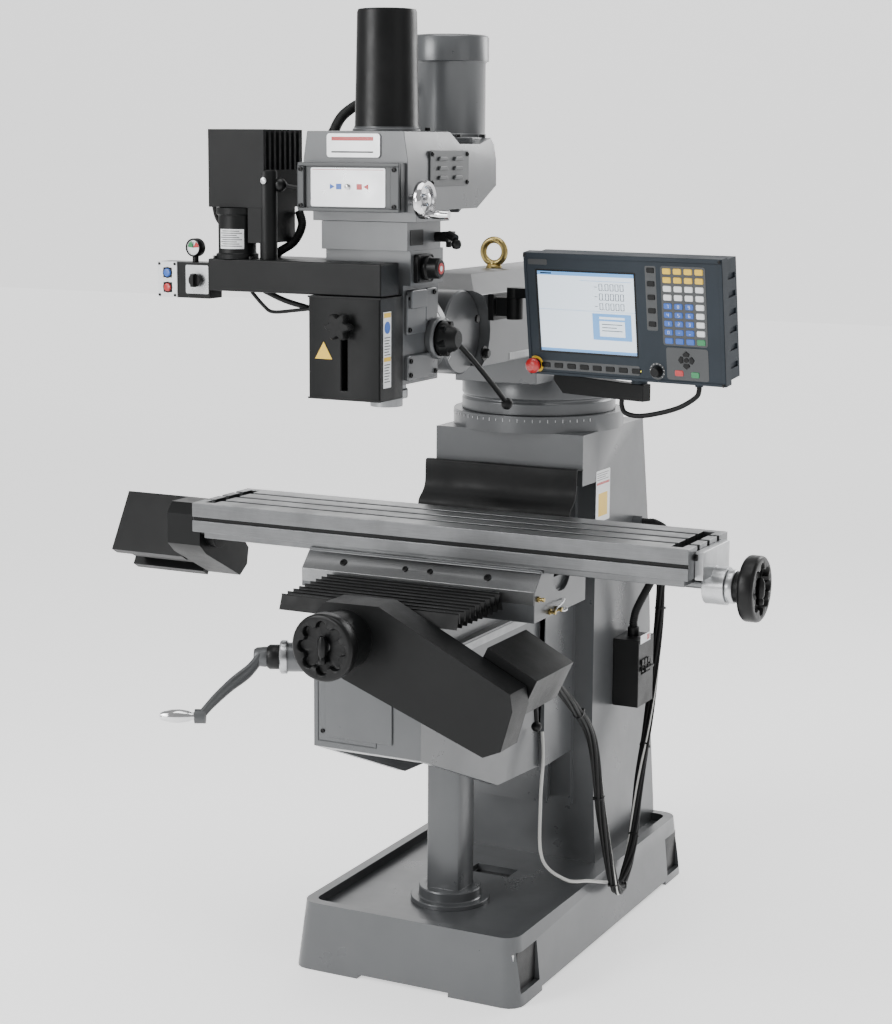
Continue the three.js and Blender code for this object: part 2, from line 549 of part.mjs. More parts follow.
function quillAndSpindle() {
  const body = rod([0, SPINDLE_Y, 1398.3], [0, SPINDLE_Y, 1642], 43, FINE);
  const bore = rod([0, SPINDLE_Y, 1390], [0, SPINDLE_Y, 1650], 18, 20);
  const stem = rod([0, SPINDLE_Y - 38, 1568], [0, -358, 1568], 5, 12);
  part('quill', cut(body.add(stem), bore), STEEL);
  const shaft = rod([0, SPINDLE_Y, 1385], [0, SPINDLE_Y, 1650], 17.6, 20);
  const nose = rod([0, SPINDLE_Y, 1380], [0, SPINDLE_Y, 1398], 36);
  const taper = rod([0, SPINDLE_Y, 1379], [0, SPINDLE_Y, 1460], 14, 16, 11);
  part('spindle', cut(shaft.add(nose), taper), STEEL);
  const lobes = 5;
  let knob = rod([0, -359, 1568], [0, -378, 1568], 20);
  for (let i = 0; i < lobes; i += 1) {
    const angle = (2 * Math.PI * i) / lobes;
    const [x, z] = [22 * Math.sin(angle), 1568 + 22 * Math.cos(angle)];
    knob = knob.add(rod([x, -362, z], [x, -376, z], 11, 12));
  }
  part('quill_clamp_knob', knob, BLACK);
}

function quillControls() {
  const outline = roundedOutline(-88, 88, -350, -245 - GAP, 6, 2);
  const cover = extrudeZ(outline, 1411, 1630);
  const slot = boxAt(-7, 7, -360, -240, 1432, 1584);
  part('quill_front_cover', cut(cover, slot), BLACK);
  const hub = turned([[0, 0], [36, 0], [38, 8], [30, 30], [18, 42], [0, 42]], [104 + GAP, -100, 1528],
    AXIS_X);
  const arm = rod([136, -100, 1528], [178, 76, 1374], 7, 12);
  part('quill_feed_lever', join(hub, arm, ball([180, 80, 1370], 14)), BLACK);
}

function beltHousing() {
  const side = [[-302, 1806], [-262, 1806], [-262, HOUSING_TOP + GAP], [-107, HOUSING_TOP + GAP],
    [-107, 1808],
    [31, 1808], [129, 1856], [127, 1947], [113, 1962], [54, 1948], [-48, 1948], [-92, 1975], [-302, 1973]];
  const front = [[-125, 1780], [125, 1780], [125, 1912], [116, 1972], [87, 1992], [-87, 1992], [-116, 1972],
    [-125, 1912]];
  part('belt_housing', extrudeX(side, -130, 130).intersect(extrudeY(front, -310, 140)), PAINT);
  part('speed_dial_plate', boxAt(-121, 121, -326, -302 - GAP, 1806, 1908), CAST);
  const wheelZ = 1833;
  const wheel = turned([[0, 0], [12, 0], [12, 18], [40, 20], [40, 36], [30, 42], [0, 38]], [125 + GAP,
    -285, wheelZ],
    AXIS_X);
  const grip = rod([155, -285, wheelZ - 30], [214, -285, wheelZ - 30], 8, 12);
  part('speed_wheel', wheel.add(grip), STEEL);
  const lever = join(rod([-125 - GAP, -280, 1850], [-142, -280, 1850], 14), rod([-136, -280, 1850], [-176,
    -300, 1858], 5, 12),
    ball([-182, -303, 1859], 14));
  part('gear_lever', lever, BLACK);
}

function headMotors() {
  part('drawbar_cover', turned([[0, 0], [70, 0], [64, 255], [0, 255]], [0, SPINDLE_Y, 1975 + GAP], AXIS_Z,
    FINE), BLACK);
  const motorProfile = [[0, 0], [84, 0], [84, 170], [89, 170], [89, 222], [80, 226], [0, 226]];
  part('spindle_motor', turned(motorProfile, [0, 140, 1963], AXIS_Z, FINE), PAINT);
  const long = boxAt(-340, 85, -345, -263, 1631, 1700);
  const block = boxAt(-262, -104, -262 - 1, -170, 1640, 1700);
  part('z_belt_housing', long.add(block), BLACK);
  part('z_servo_motor', rod([-290, -304, 1700 + GAP], [-290, -304, 1809], 41), BLACK);
  const amplifier = boxAt(-346, -206, -330, -168, 1810, 1976);
  const lowerBlock = boxAt(-248, -206, -329, -200, 1735, 1811);
  const fins = [];
  for (let i = 0; i < 7; i += 1) {
    const y = -320 + i * 21;
    fins.push(boxAt(-226, -205, y, y + 11, 1890, 1977));
  }
  part('z_servo_amplifier', cut(amplifier.add(lowerBlock), ...fins), BLACK);
  const x0 = -474;
  const box = boxAt(x0, -340 - GAP, -338, -288, 1612, 1690);
  const wells = BUTTONS.map(({ x, z }) => rod([x, -339, z], [x, -331, z], 9.6, 16));
  part('switch_box', cut(box, ...wells), BLACK);
  BUTTONS.forEach(({ name, x, z, look }) => {
    part(name, turned([[0, GAP], [9, GAP], [9, 6], [0, 9]], [x, -338, z], AXIS_Y.clone().negate(), 16), look);
  });
  const knob = join(rod([-372, -338 - GAP, 1652], [-372, -352, 1652], 15), boxAt(-376, -368, -362, -351,
    1638, 1666));
  part('selector_knob', knob, BLACK);
}

const BUTTONS = [
  { name: 'start_button', x: -448, z: 1666, look: BLUE },
  { name: 'stop_button', x: -448, z: 1634, look: RED },
];

// ---------------------------------------------------------------- pendant console
function armBracket() {
  const [ax, ay] = PIVOT_A;
  const foot = boxAt(RAM.half + GAP, 124, 122, 196, 1552, 1612);
  const lug = boxAt(120, ax, ay - 14, ay + 14, 1562, 1604);
  const pin = rod([ax, ay, 1555], [ax, ay, 1604], 19);
  part('console_bracket', join(foot, lug, pin), BLACK);
  const [bx, by] = PIVOT_B;
  const link = bar([ax, ay, 1616], [bx, by, 1616], 30, 22);
  const bosses = join(rod([ax, ay, 1604 + GAP], [ax, ay, 1627], 19), rod([bx, by, 1597], [bx, by, 1627], 17));
  part('console_arm_1', link.add(bosses), BLACK);
  const [cx, cy] = PIVOT_C;
  const top = 1597 - GAP;
  const path = [[bx - 18, top], [bx - 18, 1425], [bx + 8, 1398], [cx + 20, 1398], [cx + 20, 1436],
    [cx - 30, 1436], [bx + 34, 1440],
    [bx + 16, 1456], [bx + 16, top]];
  const turn = Math.atan2(cy - by, cx - bx);
  const plate = extrudeY(path.map(([x, z]) => [(x - bx) / Math.cos(turn), z]), -14, 14);
  const turnedPlate = plate.rotate([0, 0, THREE.MathUtils.radToDeg(turn)]).translate([bx, by, 0]);
  part('console_arm_2', turnedPlate, BLACK);
}

// matrix that carries (right, into the console, up) coordinates of the console into machine coordinates
function consoleFrame() {
  const yaw = THREE.MathUtils.degToRad(CONSOLE_TURN.yaw);
  const lean = THREE.MathUtils.degToRad(CONSOLE_TURN.lean);
  const matrix = new THREE.Matrix4().makeRotationZ(yaw);
  matrix.multiply(new THREE.Matrix4().makeRotationX(lean));
  matrix.setPosition(...CONSOLE.screen);
  return matrix.toArray();
}

function consoleUnit() {
  const { left, right, bottom, top, bezel, depth } = CONSOLE;
  const frame = consoleFrame();
  const front = boxAt(left, right, 0, bezel, bottom, top);
  const shell = boxAt(left + 8, right - 8, bezel - 1, depth, bottom + 6, top - 8);
  const ribs = [];
  for (let i = 0; i < 6; i += 1) {
    const z = bottom + 30 + i * 38;
    ribs.push(boxAt(right - 12, right, 34, depth - 8, z, z + 12));
  }
  const screen = boxAt(-123, 123, -1, 3, -92, 92);
  const [ex, ez] = ESTOP_AT;
  const [ox, oz] = OVERRIDE_AT;
  const well = rod([ex, -1, ez], [ex, 9, ez], 7.6, 16);
  const body = cut(front.add(shell), screen, well, ...ribs).transform(frame);
  const [cx, cy] = PIVOT_C;
  const post = rod([cx, cy, 1436 + GAP], [cx, cy, 1475], 18);
  const gland = rod([651, 42, 1438], [651, 42, 1470], 9, 12);
  part('console_housing', join(body, post, gland), CONSOLE_BLUE);
  const stem = rod([ex, -GAP, ez], [ex, -10, ez], 7, 16);
  const mushroom = stem.add(rod([ex, -9, ez], [ex, -24, ez], 15, 20, 13));
  part('estop_button', mushroom.transform(frame), RED);
  const knob = rod([ox, -GAP, oz], [ox, -15, oz], 13, 20, 10);
  part('override_knob', knob.transform(frame), BLACK);
  const line = [[651, 42, 1438 - CORD_GAP], [651, 42, 1430], [644, 43, 1415], [606, 50, 1391],
    [556, 58, 1374], [506, 64, 1364], [472, 70, 1368], [462, 72, 1384], [462, 72, 1398 - CORD_GAP]];
  part('console_cable', tube(line, 5.5, 8, 24), RUBBER);
}

baseColumn();
pedestal();
chipGuard();
breaker();
floorCables();
kneeCasting();
kneeDrive();
yDrive();
wayBellows();
saddle();
table();
xDrive();
turretAndRam();
quillHousing();
quillAndSpindle();
quillControls();
beltHousing();
headMotors();
armBracket();
consoleUnit();

export default object;
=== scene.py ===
"""Knee milling machine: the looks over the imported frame. Metres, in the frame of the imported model."""
import json
import math
import bmesh
import bpy
from mathutils import Matrix, Vector


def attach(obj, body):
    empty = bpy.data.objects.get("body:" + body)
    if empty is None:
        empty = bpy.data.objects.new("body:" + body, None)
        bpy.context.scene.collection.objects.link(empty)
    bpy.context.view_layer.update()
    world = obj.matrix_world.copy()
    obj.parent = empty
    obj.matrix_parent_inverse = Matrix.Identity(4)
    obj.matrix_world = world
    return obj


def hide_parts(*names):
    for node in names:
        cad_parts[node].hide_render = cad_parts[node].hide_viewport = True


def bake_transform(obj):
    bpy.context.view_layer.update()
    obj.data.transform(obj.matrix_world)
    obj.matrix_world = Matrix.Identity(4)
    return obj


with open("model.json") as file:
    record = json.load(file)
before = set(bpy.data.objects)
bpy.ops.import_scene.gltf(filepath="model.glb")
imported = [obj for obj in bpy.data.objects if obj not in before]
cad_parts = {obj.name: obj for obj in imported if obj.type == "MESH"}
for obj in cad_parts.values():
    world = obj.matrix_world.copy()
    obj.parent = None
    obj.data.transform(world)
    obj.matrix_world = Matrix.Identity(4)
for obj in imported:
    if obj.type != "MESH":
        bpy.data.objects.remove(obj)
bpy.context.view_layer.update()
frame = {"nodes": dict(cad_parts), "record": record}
SHIFT = Vector((0.085, -0.270, 0.0))  # from machine coordinates to the frame
RIGHT, BACK, FRONT, UP = (1, 0, 0), (0, 1, 0), (0, -1, 0), (0, 0, 1)
# Places that several pieces share: in machine mm, and right and up from the middle of the console's face.
X_DIAL_AT, NOD_AT, SELECTOR_FACE_AT, DRAWBAR_AT = (702, 127, 992), (0, 40, 1530), (150, -195, 1686), (0, -160, 1975)
ESTOP_ON_FACE, OVERRIDE_ON_FACE = (-134.5, -121), (166.6, -118)
WHEEL_BORE = 12.6  # radius of the handwheels' bore, in mm
BODY = {}
for body_name, members in frame["record"]["behaviour"]["bodies"].items():
    for member in members:
        BODY[member] = body_name
SLOT = {s["node"]: s["material_slot"] for s in frame["record"]["subparts"]}


def P(x, y, z):
    """Machine millimetres as a frame point in metres. The table front edge is y = 0, the centre x = 0."""
    return Vector((x, y, z)) / 1000 + SHIFT


# ---- materials
def new_material(name):
    mat = bpy.data.materials.new(name)
    mat.use_nodes = True
    nodes = mat.node_tree.nodes
    return mat, nodes, mat.node_tree.links, nodes["Principled BSDF"]


def ramp(nodes, links, source, stops):
    node = nodes.new("ShaderNodeValToRGB")
    node.color_ramp.elements[0].position, node.color_ramp.elements[0].color = stops[0][0], (*stops[0][1], 1)
    node.color_ramp.elements[1].position, node.color_ramp.elements[1].color = stops[-1][0], (*stops[-1][1], 1)
    for pos, col in stops[1:-1]:
        element = node.color_ramp.elements.new(pos)
        element.color = (*col, 1)
    links.new(source, node.inputs["Fac"])
    return node.outputs["Color"]


def noise(nodes, links, scale, detail=4.0, rough=0.55, stretch=(1, 1, 1)):
    coord = nodes.new("ShaderNodeTexCoord")
    mapping = nodes.new("ShaderNodeMapping")
    mapping.inputs["Scale"].default_value = stretch
    tex = nodes.new("ShaderNodeTexNoise")
    tex.inputs["Scale"].default_value = scale
    tex.inputs["Detail"].default_value = detail
    tex.inputs["Roughness"].default_value = rough
    links.new(coord.outputs["Object"], mapping.inputs["Vector"])
    links.new(mapping.outputs["Vector"], tex.inputs["Vector"])
    return tex.outputs["Fac"]


def bump(nodes, links, height, strength, distance, normal=None):
    node = nodes.new("ShaderNodeBump")
    node.inputs["Strength"].default_value = strength
    node.inputs["Distance"].default_value = distance
    links.new(height, node.inputs["Height"])
    if normal is not None:
        links.new(normal, node.inputs["Normal"])
    return node.outputs["Normal"]


def shade(value):
    return (value, value, value)


def surface(name, color, rough, metal, mottle=0.12, grain=(900, 0.25, 0.0002), wear=(9, 0.05), coat=0.0,
        stretch=(1, 1, 1), orange=None, gloss=0.5):
    """Paint, plastic or metal: large soft mottling, small grain in the bump and a roughness that varies."""
    mat, nodes, links, bsdf = new_material(name)
    broad = noise(nodes, links, 6.0, 5.0, 0.6, stretch)
    low = [c * (1 - mottle) for c in color]
    high = [min(1, c * (1 + mottle)) for c in color]
    links.new(ramp(nodes, links, broad, [(0.3, low), (0.7, high)]), bsdf.inputs["Base Color"])
    scale, strength, distance = grain
    fine = noise(nodes, links, scale, 3.0, 0.6, stretch)
    normal = bump(nodes, links, fine, strength, distance)
    if orange:
        peel = noise(nodes, links, orange[0], 2.0, 0.4)
        normal = bump(nodes, links, peel, orange[1], orange[2], normal)
    links.new(normal, bsdf.inputs["Normal"])
    patches = noise(nodes, links, wear[0], 6.0, 0.65, stretch)
    value = ramp(nodes, links, patches, [(0.35, shade(max(0.02, rough - wear[1]))),
        (0.65, shade(rough + wear[1]))])
    links.new(value, bsdf.inputs["Roughness"])
    bsdf.inputs["Metallic"].default_value = metal
    bsdf.inputs["Coat Weight"].default_value = coat
    bsdf.inputs["Specular IOR Level"].default_value = gloss
    bsdf.inputs["Coat Roughness"].default_value = 0.22
    return mat


def brushed(name, color, rough, direction, depth=0.35, anisotropy=0.5):
    """Ground or turned metal with fine lines along one direction and faint stains."""
    mat, nodes, links, bsdf = new_material(name)
    stretch = [260, 260, 260]
    stretch["XYZ".index(direction)] = 3
    lines = noise(nodes, links, 4.0, 6.0, 0.7, stretch)
    stains = noise(nodes, links, 11.0, 6.0, 0.6)
    low = [c * 0.72 for c in color]
    mix = nodes.new("ShaderNodeMix")
    mix.data_type = "RGBA"
    mix.blend_type = "MULTIPLY"
    mix.inputs["Factor"].default_value = 0.45
    links.new(ramp(nodes, links, lines, [(0.3, low), (0.7, color)]), mix.inputs["A"])
    links.new(ramp(nodes, links, stains, [(0.35, shade(0.62)), (0.6, shade(1.0))]), mix.inputs["B"])
    links.new(mix.outputs["Result"], bsdf.inputs["Base Color"])
    links.new(bump(nodes, links, lines, depth, 0.0001), bsdf.inputs["Normal"])
    links.new(ramp(nodes, links, stains, [(0.35, shade(rough + 0.1)), (0.65, shade(rough))]),
        bsdf.inputs["Roughness"])
    bsdf.inputs["Metallic"].default_value = 1.0
    bsdf.inputs["Anisotropic"].default_value = anisotropy
    return mat


def glow(name, color, strength):
    mat, nodes, links, bsdf = new_material(name)
    grid = noise(nodes, links, 1200, 1.0, 0.5)
    links.new(ramp(nodes, links, grid, [(0.2, [c * 0.94 for c in color]), (0.8, color)]),
        bsdf.inputs["Emission Color"])
    bsdf.inputs["Emission Strength"].default_value = strength
    bsdf.inputs["Base Color"].default_value = (*[c * 0.5 for c in color], 1)
    bsdf.inputs["Roughness"].default_value = 0.25
    return mat


GRAY = (0.088, 0.092, 0.096)
M = {"paint": surface("paint_gray", GRAY, 0.32, 0.25, 0.07, (1400, 0.05, 0.0002), (7, 0.05), 0.3,
    orange=(210, 0.03, 0.0004)), "paint_dark": surface("paint_dark", (0.045, 0.048, 0.05), 0.42, 0.25, 0.08,
    (1400, 0.15, 0.0002), (8, 0.06), 0.2), "black_paint": surface("powder_black", (0.0048, 0.0052, 0.0054),
    0.42, 0.0, 0.25, (1600, 0.35, 0.0003), (9, 0.06), gloss=0.22), "black_plastic": surface("plastic_black",
    (0.0042, 0.0044, 0.0046), 0.36, 0.0, 0.25, (2200, 0.25, 0.0002), (14, 0.07), gloss=0.25),
    "rubber": surface("rubber", (0.0065, 0.0068, 0.0070), 0.55, 0.0, 0.3, (700, 0.3, 0.0004), (12, 0.08),
    gloss=0.25), "cast": surface("cast_iron", (0.09, 0.093, 0.096), 0.5, 0.6, 0.15, (420, 0.4, 0.0005),
    (9, 0.08)), "console_plastic": surface("console_plastic", (0.017, 0.024, 0.032), 0.5, 0.0, 0.1,
    (1900, 0.4, 0.0003), (10, 0.05), gloss=0.25), "light_plastic": surface("cable_light", (0.55, 0.55, 0.53),
    0.45, 0.0, 0.08, (800, 0.2, 0.0003), (20, 0.08)), "red_plastic": surface("plastic_red",
    (0.42, 0.012, 0.014), 0.28, 0.0, 0.06, (900, 0.1, 0.0002), (20, 0.05), 0.4),
    "green_plastic": surface("plastic_green", (0.01, 0.19, 0.06), 0.3, 0.0, 0.06, (900, 0.1, 0.0002),
    (20, 0.05), 0.3), "blue_plastic": surface("plastic_blue", (0.02, 0.10, 0.42), 0.35, 0.0, 0.06,
    (900, 0.1, 0.0002), (20, 0.05), 0.2), "yellow_plastic": surface("plastic_yellow", (0.75, 0.48, 0.03),
    0.35, 0.0, 0.06, (900, 0.1, 0.0002), (20, 0.05), 0.2), "white_label": surface("label_white",
    (0.72, 0.73, 0.74), 0.4, 0.0, 0.04, (500, 0.05, 0.0001), (14, 0.05)),
    "silver_label": surface("label_silver", (0.56, 0.57, 0.58), 0.32, 0.8, 0.05, (900, 0.12, 0.0001),
    (14, 0.06)), "brass": surface("brass", (0.43, 0.33, 0.13), 0.3, 1.0, 0.25, (500, 0.25, 0.0003),
    (30, 0.09)), "steel": brushed("steel_ground", (0.24, 0.245, 0.25), 0.28, "X"),
    "steel_y": brushed("steel_turned", (0.34, 0.345, 0.35), 0.28, "Y"), "steel_z": brushed("steel_scraped",
    (0.40, 0.41, 0.42), 0.33, "Z"), "aluminium": brushed("aluminium", (0.66, 0.67, 0.68), 0.27, "Z"),
    "chrome": brushed("chrome", (0.8, 0.8, 0.81), 0.09, "X", 0.1, 0.0), "screen": glow("screen_white",
    (0.80, 0.90, 1.0), 1.15), "screen_blue": glow("screen_blue", (0.16, 0.42, 0.85), 0.9),
    "screen_ink": glow("screen_ink", (0.02, 0.03, 0.05), 0.1), "led": glow("led_amber", (0.9, 0.8, 0.1), 2.0),
    }


# The slot that each material goes to, where the two have different names.
SLOT_OF = {"paint_dark": "cast", "chrome": "aluminium", "silver_label": "aluminium", "steel_y": "steel",
    "steel_z": "steel", "screen_ink": "black_plastic", "screen_blue": "blue_plastic",
    **dict.fromkeys(("screen", "led", "white_label", "yellow_plastic", "green_plastic"), "light_plastic")}


# ---- mesh helpers
def circle(count):
    """Angles in even steps round one full turn."""
    return [2 * math.pi * i / count for i in range(count)]


def join_rings(bm, rings):
    """Faces between each ring of vertices and the next."""
    for a, b in zip(rings, rings[1:]):
        for i in range(len(a)):
            j = (i + 1) % len(a)
            bm.faces.new([a[i], a[j], b[j], b[i]])


def finish_mesh(bm, name, mat, body, slot_name, bevel=0.0, angle=35):
    """Cleans the mesh, makes it an object with one material, and puts it on its body. The slot_name argument is not
    used.
    """
    bmesh.ops.remove_doubles(bm, verts=bm.verts, dist=1e-6)
    bmesh.ops.recalc_face_normals(bm, faces=bm.faces)
    limit = math.radians(angle)
    for edge in bm.edges:
        edge.smooth = len(edge.link_faces) == 2 and edge.calc_face_angle(0) < limit
    for face in bm.faces:
        face.smooth = True
    mesh = bpy.data.meshes.new(name)
    bm.to_mesh(mesh)
    bm.free()
    obj = bpy.data.objects.new(name, mesh)
    bpy.context.scene.collection.objects.link(obj)
    mesh.materials.append(M[mat] if isinstance(mat, str) else mat)
    if bevel:
        mod = obj.modifiers.new("edge", "BEVEL")
        mod.width = bevel
        mod.segments = 2
        mod.limit_method = "ANGLE"
        mod.angle_limit = limit
        mod.harden_normals = True
    if body:
        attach(obj, body)
    return obj


def turn_to(direction):
    return Vector(UP).rotation_difference(Vector(direction).normalized()).to_matrix().to_4x4()


def add_box(bm, lo, hi, frame_matrix=None):
    lo, hi = Vector(lo), Vector(hi)
    matrix = Matrix.Translation((lo + hi) / 2) @ Matrix.Diagonal(((hi.x - lo.x), (hi.y - lo.y), (hi.z - lo.z),
        1))
    bmesh.ops.create_cube(bm, size=1, matrix=(frame_matrix or Matrix.Identity(4)) @ matrix)


def add_lathe(bm, profile, at, direction, segs=48):
    """profile is (radius, distance along) in metres; a radius of zero closes the end."""
    place = Matrix.Translation(at) @ turn_to(direction)
    rings = []
    for r, h in profile:
        if r < 1e-7:
            rings.append([bm.verts.new(place @ Vector((0, 0, h)))])
        else:
            rings.append([bm.verts.new(place @ Vector((r * math.cos(a), r * math.sin(a), h)))
                for a in circle(segs)])
    for a, b in zip(rings, rings[1:]):
        for i in range(segs):
            j = (i + 1) % segs
            corners = [a[i % len(a)], a[j % len(a)], b[j % len(b)], b[i % len(b)]]
            unique = list(dict.fromkeys(corners))
            if len(unique) > 2:
                bm.faces.new(unique)


def add_cyl(bm, a, b, r, segs=32, r2=None):
    a, b = Vector(a), Vector(b)
    length = (b - a).length
    add_lathe(bm, [(0, 0), (r, 0), (r if r2 is None else r2, length), (0, length)], a, b - a, segs)


def frames_along(line):
    """Each point of a line with two unit vectors across it that don't twist."""
    side = (line[1] - line[0]).normalized().orthogonal().normalized()
    for i, p in enumerate(line):
        t = (line[min(i + 1, len(line) - 1)] - line[max(i - 1, 0)]).normalized()
        side = (side - t * side.dot(t)).normalized()
        yield p, side.copy(), t.cross(side)


def ring_round(bm, p, u, v, r, sides):
    return [bm.verts.new(p + (u * math.cos(a) + v * math.sin(a)) * r) for a in circle(sides)]


def add_tube(bm, points, r, sides=10, samples=8):
    """Round cord along a smooth line through the points."""
    rings = [ring_round(bm, p, u, v, r, sides) for p, u, v in frames_along(smooth_line(points, samples))]
    join_rings(bm, rings)
    bm.faces.new(list(reversed(rings[0])))
    bm.faces.new(rings[-1])


def smooth_line(points, samples):
    pts = [Vector(p) for p in points]
    out = []
    for i in range(len(pts) - 1):
        p0, p1, p2, p3 = pts[max(i - 1, 0)], pts[i], pts[i + 1], pts[min(i + 2, len(pts) - 1)]
        for s in range(samples):
            t = s / samples
            out.append(0.5 * ((2 * p1) + (p2 - p0) * t + (2 * p0 - 5 * p1 + 4 * p2 - p3) * t * t
                + (3 * p1 - p0 - 3 * p2 + p3) * t ** 3))
    out.append(pts[-1])
    return out


def close_prism(bm, low, high):
    """Two outlines with the same number of points, closed at both ends and round the side."""
    rings = [[bm.verts.new(p) for p in outline] for outline in (low, high)]
    for ring in rings:
        bm.faces.new(ring)
    join_rings(bm, rings)


def prism(bm, outline, axis, d0, d1):
    """A closed outline in mm pushed along an axis: (y, z) for X, (x, z) for Y, (x, y) for Z."""
    place = {"X": lambda u, v, d: P(d, u, v), "Y": lambda u, v, d: P(u, d, v), "Z": lambda u, v,
        d: P(u, v, d)}[axis]
    close_prism(bm, [place(u, v, d0) for u, v in outline], [place(u, v, d1) for u, v in outline])


def rounded(x0, x1, y0, y1, r, steps=5):
    points = []
    for cx, cy, start in ((x1 - r, y1 - r, 0), (x0 + r, y1 - r, 90), (x0 + r, y0 + r, 180),
            (x1 - r, y0 + r, 270)):
        for i in range(steps + 1):
            a = math.radians(start + 90 * i / steps)
            points.append((cx + r * math.cos(a), cy + r * math.sin(a)))
    return points


def refine(node, mat=None, bevel=0.0015):
    """The CAD node's own shape with flat faces joined, rounded edges and its real material."""
    source = frame["nodes"][node]
    bm = bmesh.new()
    bm.from_mesh(source.data)
    bmesh.ops.remove_doubles(bm, verts=bm.verts, dist=1e-5)
    bmesh.ops.dissolve_limit(bm, angle_limit=math.radians(1.2), verts=bm.verts, edges=bm.edges)
    slot_name = SLOT[node]
    obj = finish_mesh(bm, node + "_skin", mat or slot_name, BODY[node], slot_name, bevel, 30)
    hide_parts(node)
    return obj


def made(name, mat, body, build, bevel=0.0, angle=35, stands_for=(), slot=None):
    """Runs build(bm) on an empty mesh and puts it on a body; the slot it passes on is not used."""
    bm = bmesh.new()
    build(bm)
    obj = finish_mesh(bm, name, mat, body, slot or SLOT_OF.get(mat, mat), bevel, angle)
    if stands_for:
        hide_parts(*stands_for)
    return obj


def lathe_mm(bm, profile, at, direction, segs=64):
    add_lathe(bm, [(r / 1000, h / 1000) for r, h in profile], P(*at), direction, segs)


def cyl_mm(bm, a, b, r, segs=32, r2=None):
    add_cyl(bm, P(*a), P(*b), r / 1000, segs, None if r2 is None else r2 / 1000)


def box_mm(bm, x0, x1, y0, y1, z0, z1):
    add_box(bm, P(x0, y0, z0), P(x1, y1, z1))


def builder(shape):
    """Turns shape(bm, ...) into a function of its other arguments, for made() to run on its mesh."""
    return lambda *args: lambda bm: shape(bm, *args)


turned, boxed, pushed = builder(lathe_mm), builder(box_mm), builder(prism)


def hex_bolt(bm, at, direction, r, height):
    """Socket head screw: a cylinder with a chamfer and a round recess."""
    inner = r * 0.52
    lathe_mm(bm, [(0, 0), (r, 0), (r, height * 0.85), (r * 0.88, height), (inner, height),
        (inner, height * 0.4), (0, height * 0.4)], at, direction, 18)


# ---- castings and plates that keep their CAD shape
EDGE_WIDTH = {"base_column": 0.006, "knee_casting": 0.005, "saddle": 0.002, "table": 0.0012, "ram": 0.005,
    "quill_housing": 0.005, "belt_housing": 0.012, "console_housing": 0.003, "z_servo_amplifier": 0.0015,
    "x_servo_amplifier": 0.0015, "y_servo_amplifier": 0.003, "y_belt_cover": 0.006, "x_belt_cover": 0.008,
    "x_end_bracket": 0.002, "z_belt_housing": 0.003, "quill_front_cover": 0.003, "speed_dial_plate": 0.002,
    "switch_box": 0.002, "knee_front_panel": 0.001, "breaker_box": 0.002, "console_bracket": 0.003,
    "console_arm_1": 0.002, "console_arm_2": 0.002, "breaker_toggle": 0.001, "knee_lock_lever": 0.0,
    "gear_lever": 0.0, "selector_knob": 0.0008, "quill": 0.0008, "spindle": 0.0006, "override_knob": 0.001,
    "elevating_screw": 0.001, "x_screw": 0.001, "y_screw": 0.001, "x_servo_motor": 0.002,
    "y_servo_motor": 0.002, "z_servo_motor": 0.002}
LOOK = {"speed_dial_plate": "paint_dark", "y_screw": "steel_y", "quill": "steel_z", "spindle": "steel_z",
    "elevating_screw": "steel_z", "x_screw": "steel"}
for node, width in EDGE_WIDTH.items():
    refine(node, LOOK.get(node), width)


# ---- round parts rebuilt with full roundness
def turret_mesh(bm):
    lathe_mm(bm, [(0, 1290.3), (195, 1290.3), (195, 1318), (191, 1322), (191, 1326), (195, 1330), (195, 1372),
        (186, 1389), (0, 1389)], (0, 660, 0), UP, 128)
    prism(bm, [(-109, 400), (109, 400), (109, 850), (-109, 850)], "Z", 1377, 1449)


made("turret_disc", "paint", BODY["turret"], turret_mesh, 0.004, 30, ["turret"])
made("drawbar_tube", "black_plastic", "head", turned([(0, 0.3), (70, 0.3), (70.0, 8), (69, 10), (64.2, 248),
    (62, 254), (55, 255), (0, 255)], DRAWBAR_AT, UP, 96), 0.0, 40, ["drawbar_cover"])
made("motor_body", "paint", "head", turned([(0, 0), (84, 0), (84, 6), (82, 8), (82, 162), (84, 166),
    (89, 168), (89, 220), (86, 224), (80, 226), (0, 226)], (0, 140, 1963), UP, 96), 0.0, 40,
    ["spindle_motor"])
made("adapter_drum", "paint", "adapter", lambda bm: (lathe_mm(bm, [(0, -85), (91, -85), (95, -81), (95, 81),
    (91, 85), (0, 85)], NOD_AT, RIGHT, 96), lathe_mm(bm, [(0, 0), (80, 0), (80, 96), (100, 96), (100, 118),
    (98, 120), (0, 120)], NOD_AT, FRONT, 96)), 0.0, 40, ["ram_adapter"])
made("pedestal_foot", "paint", "base", turned([(60, 0.4), (96, 0.4), (96, 9.5), (94.5, 11.3), (79, 11.6),
    (76.2, 14), (76.2, 34), (74, 37), (60, 37), (60, 0.4)], (0, 172, 140), UP, 96))
refine("pedestal", None, 0.003)


def eyebolt_mesh(bm):
    ring = [(28 + 8 * math.cos(a), 8 * math.sin(a)) for a in [2 * math.pi * i / 20 for i in range(21)]]
    lathe_mm(bm, ring, (0, 385, 1694), BACK, 64)
    lathe_mm(bm, [(0, 0.3), (19, 0.3), (19, 5), (16, 8), (11, 9), (10, 14), (0, 14)], (0, 385, 1655), UP, 48)


made("eyebolt", "brass", "ram_body", eyebolt_mesh, 0.0, 40, ["lifting_eyebolt"])


def recess_radius(angle):
    """Edge of the eight-lobed recess in a handwheel's face, in millimetres."""
    gap = math.pi / 4
    d = (angle + gap / 2) % gap - gap / 2
    reach = 13 ** 2 - (46 * math.sin(d)) ** 2
    return max(46.0, 46 * math.cos(d) + math.sqrt(reach)) if reach > 0 else 46.0


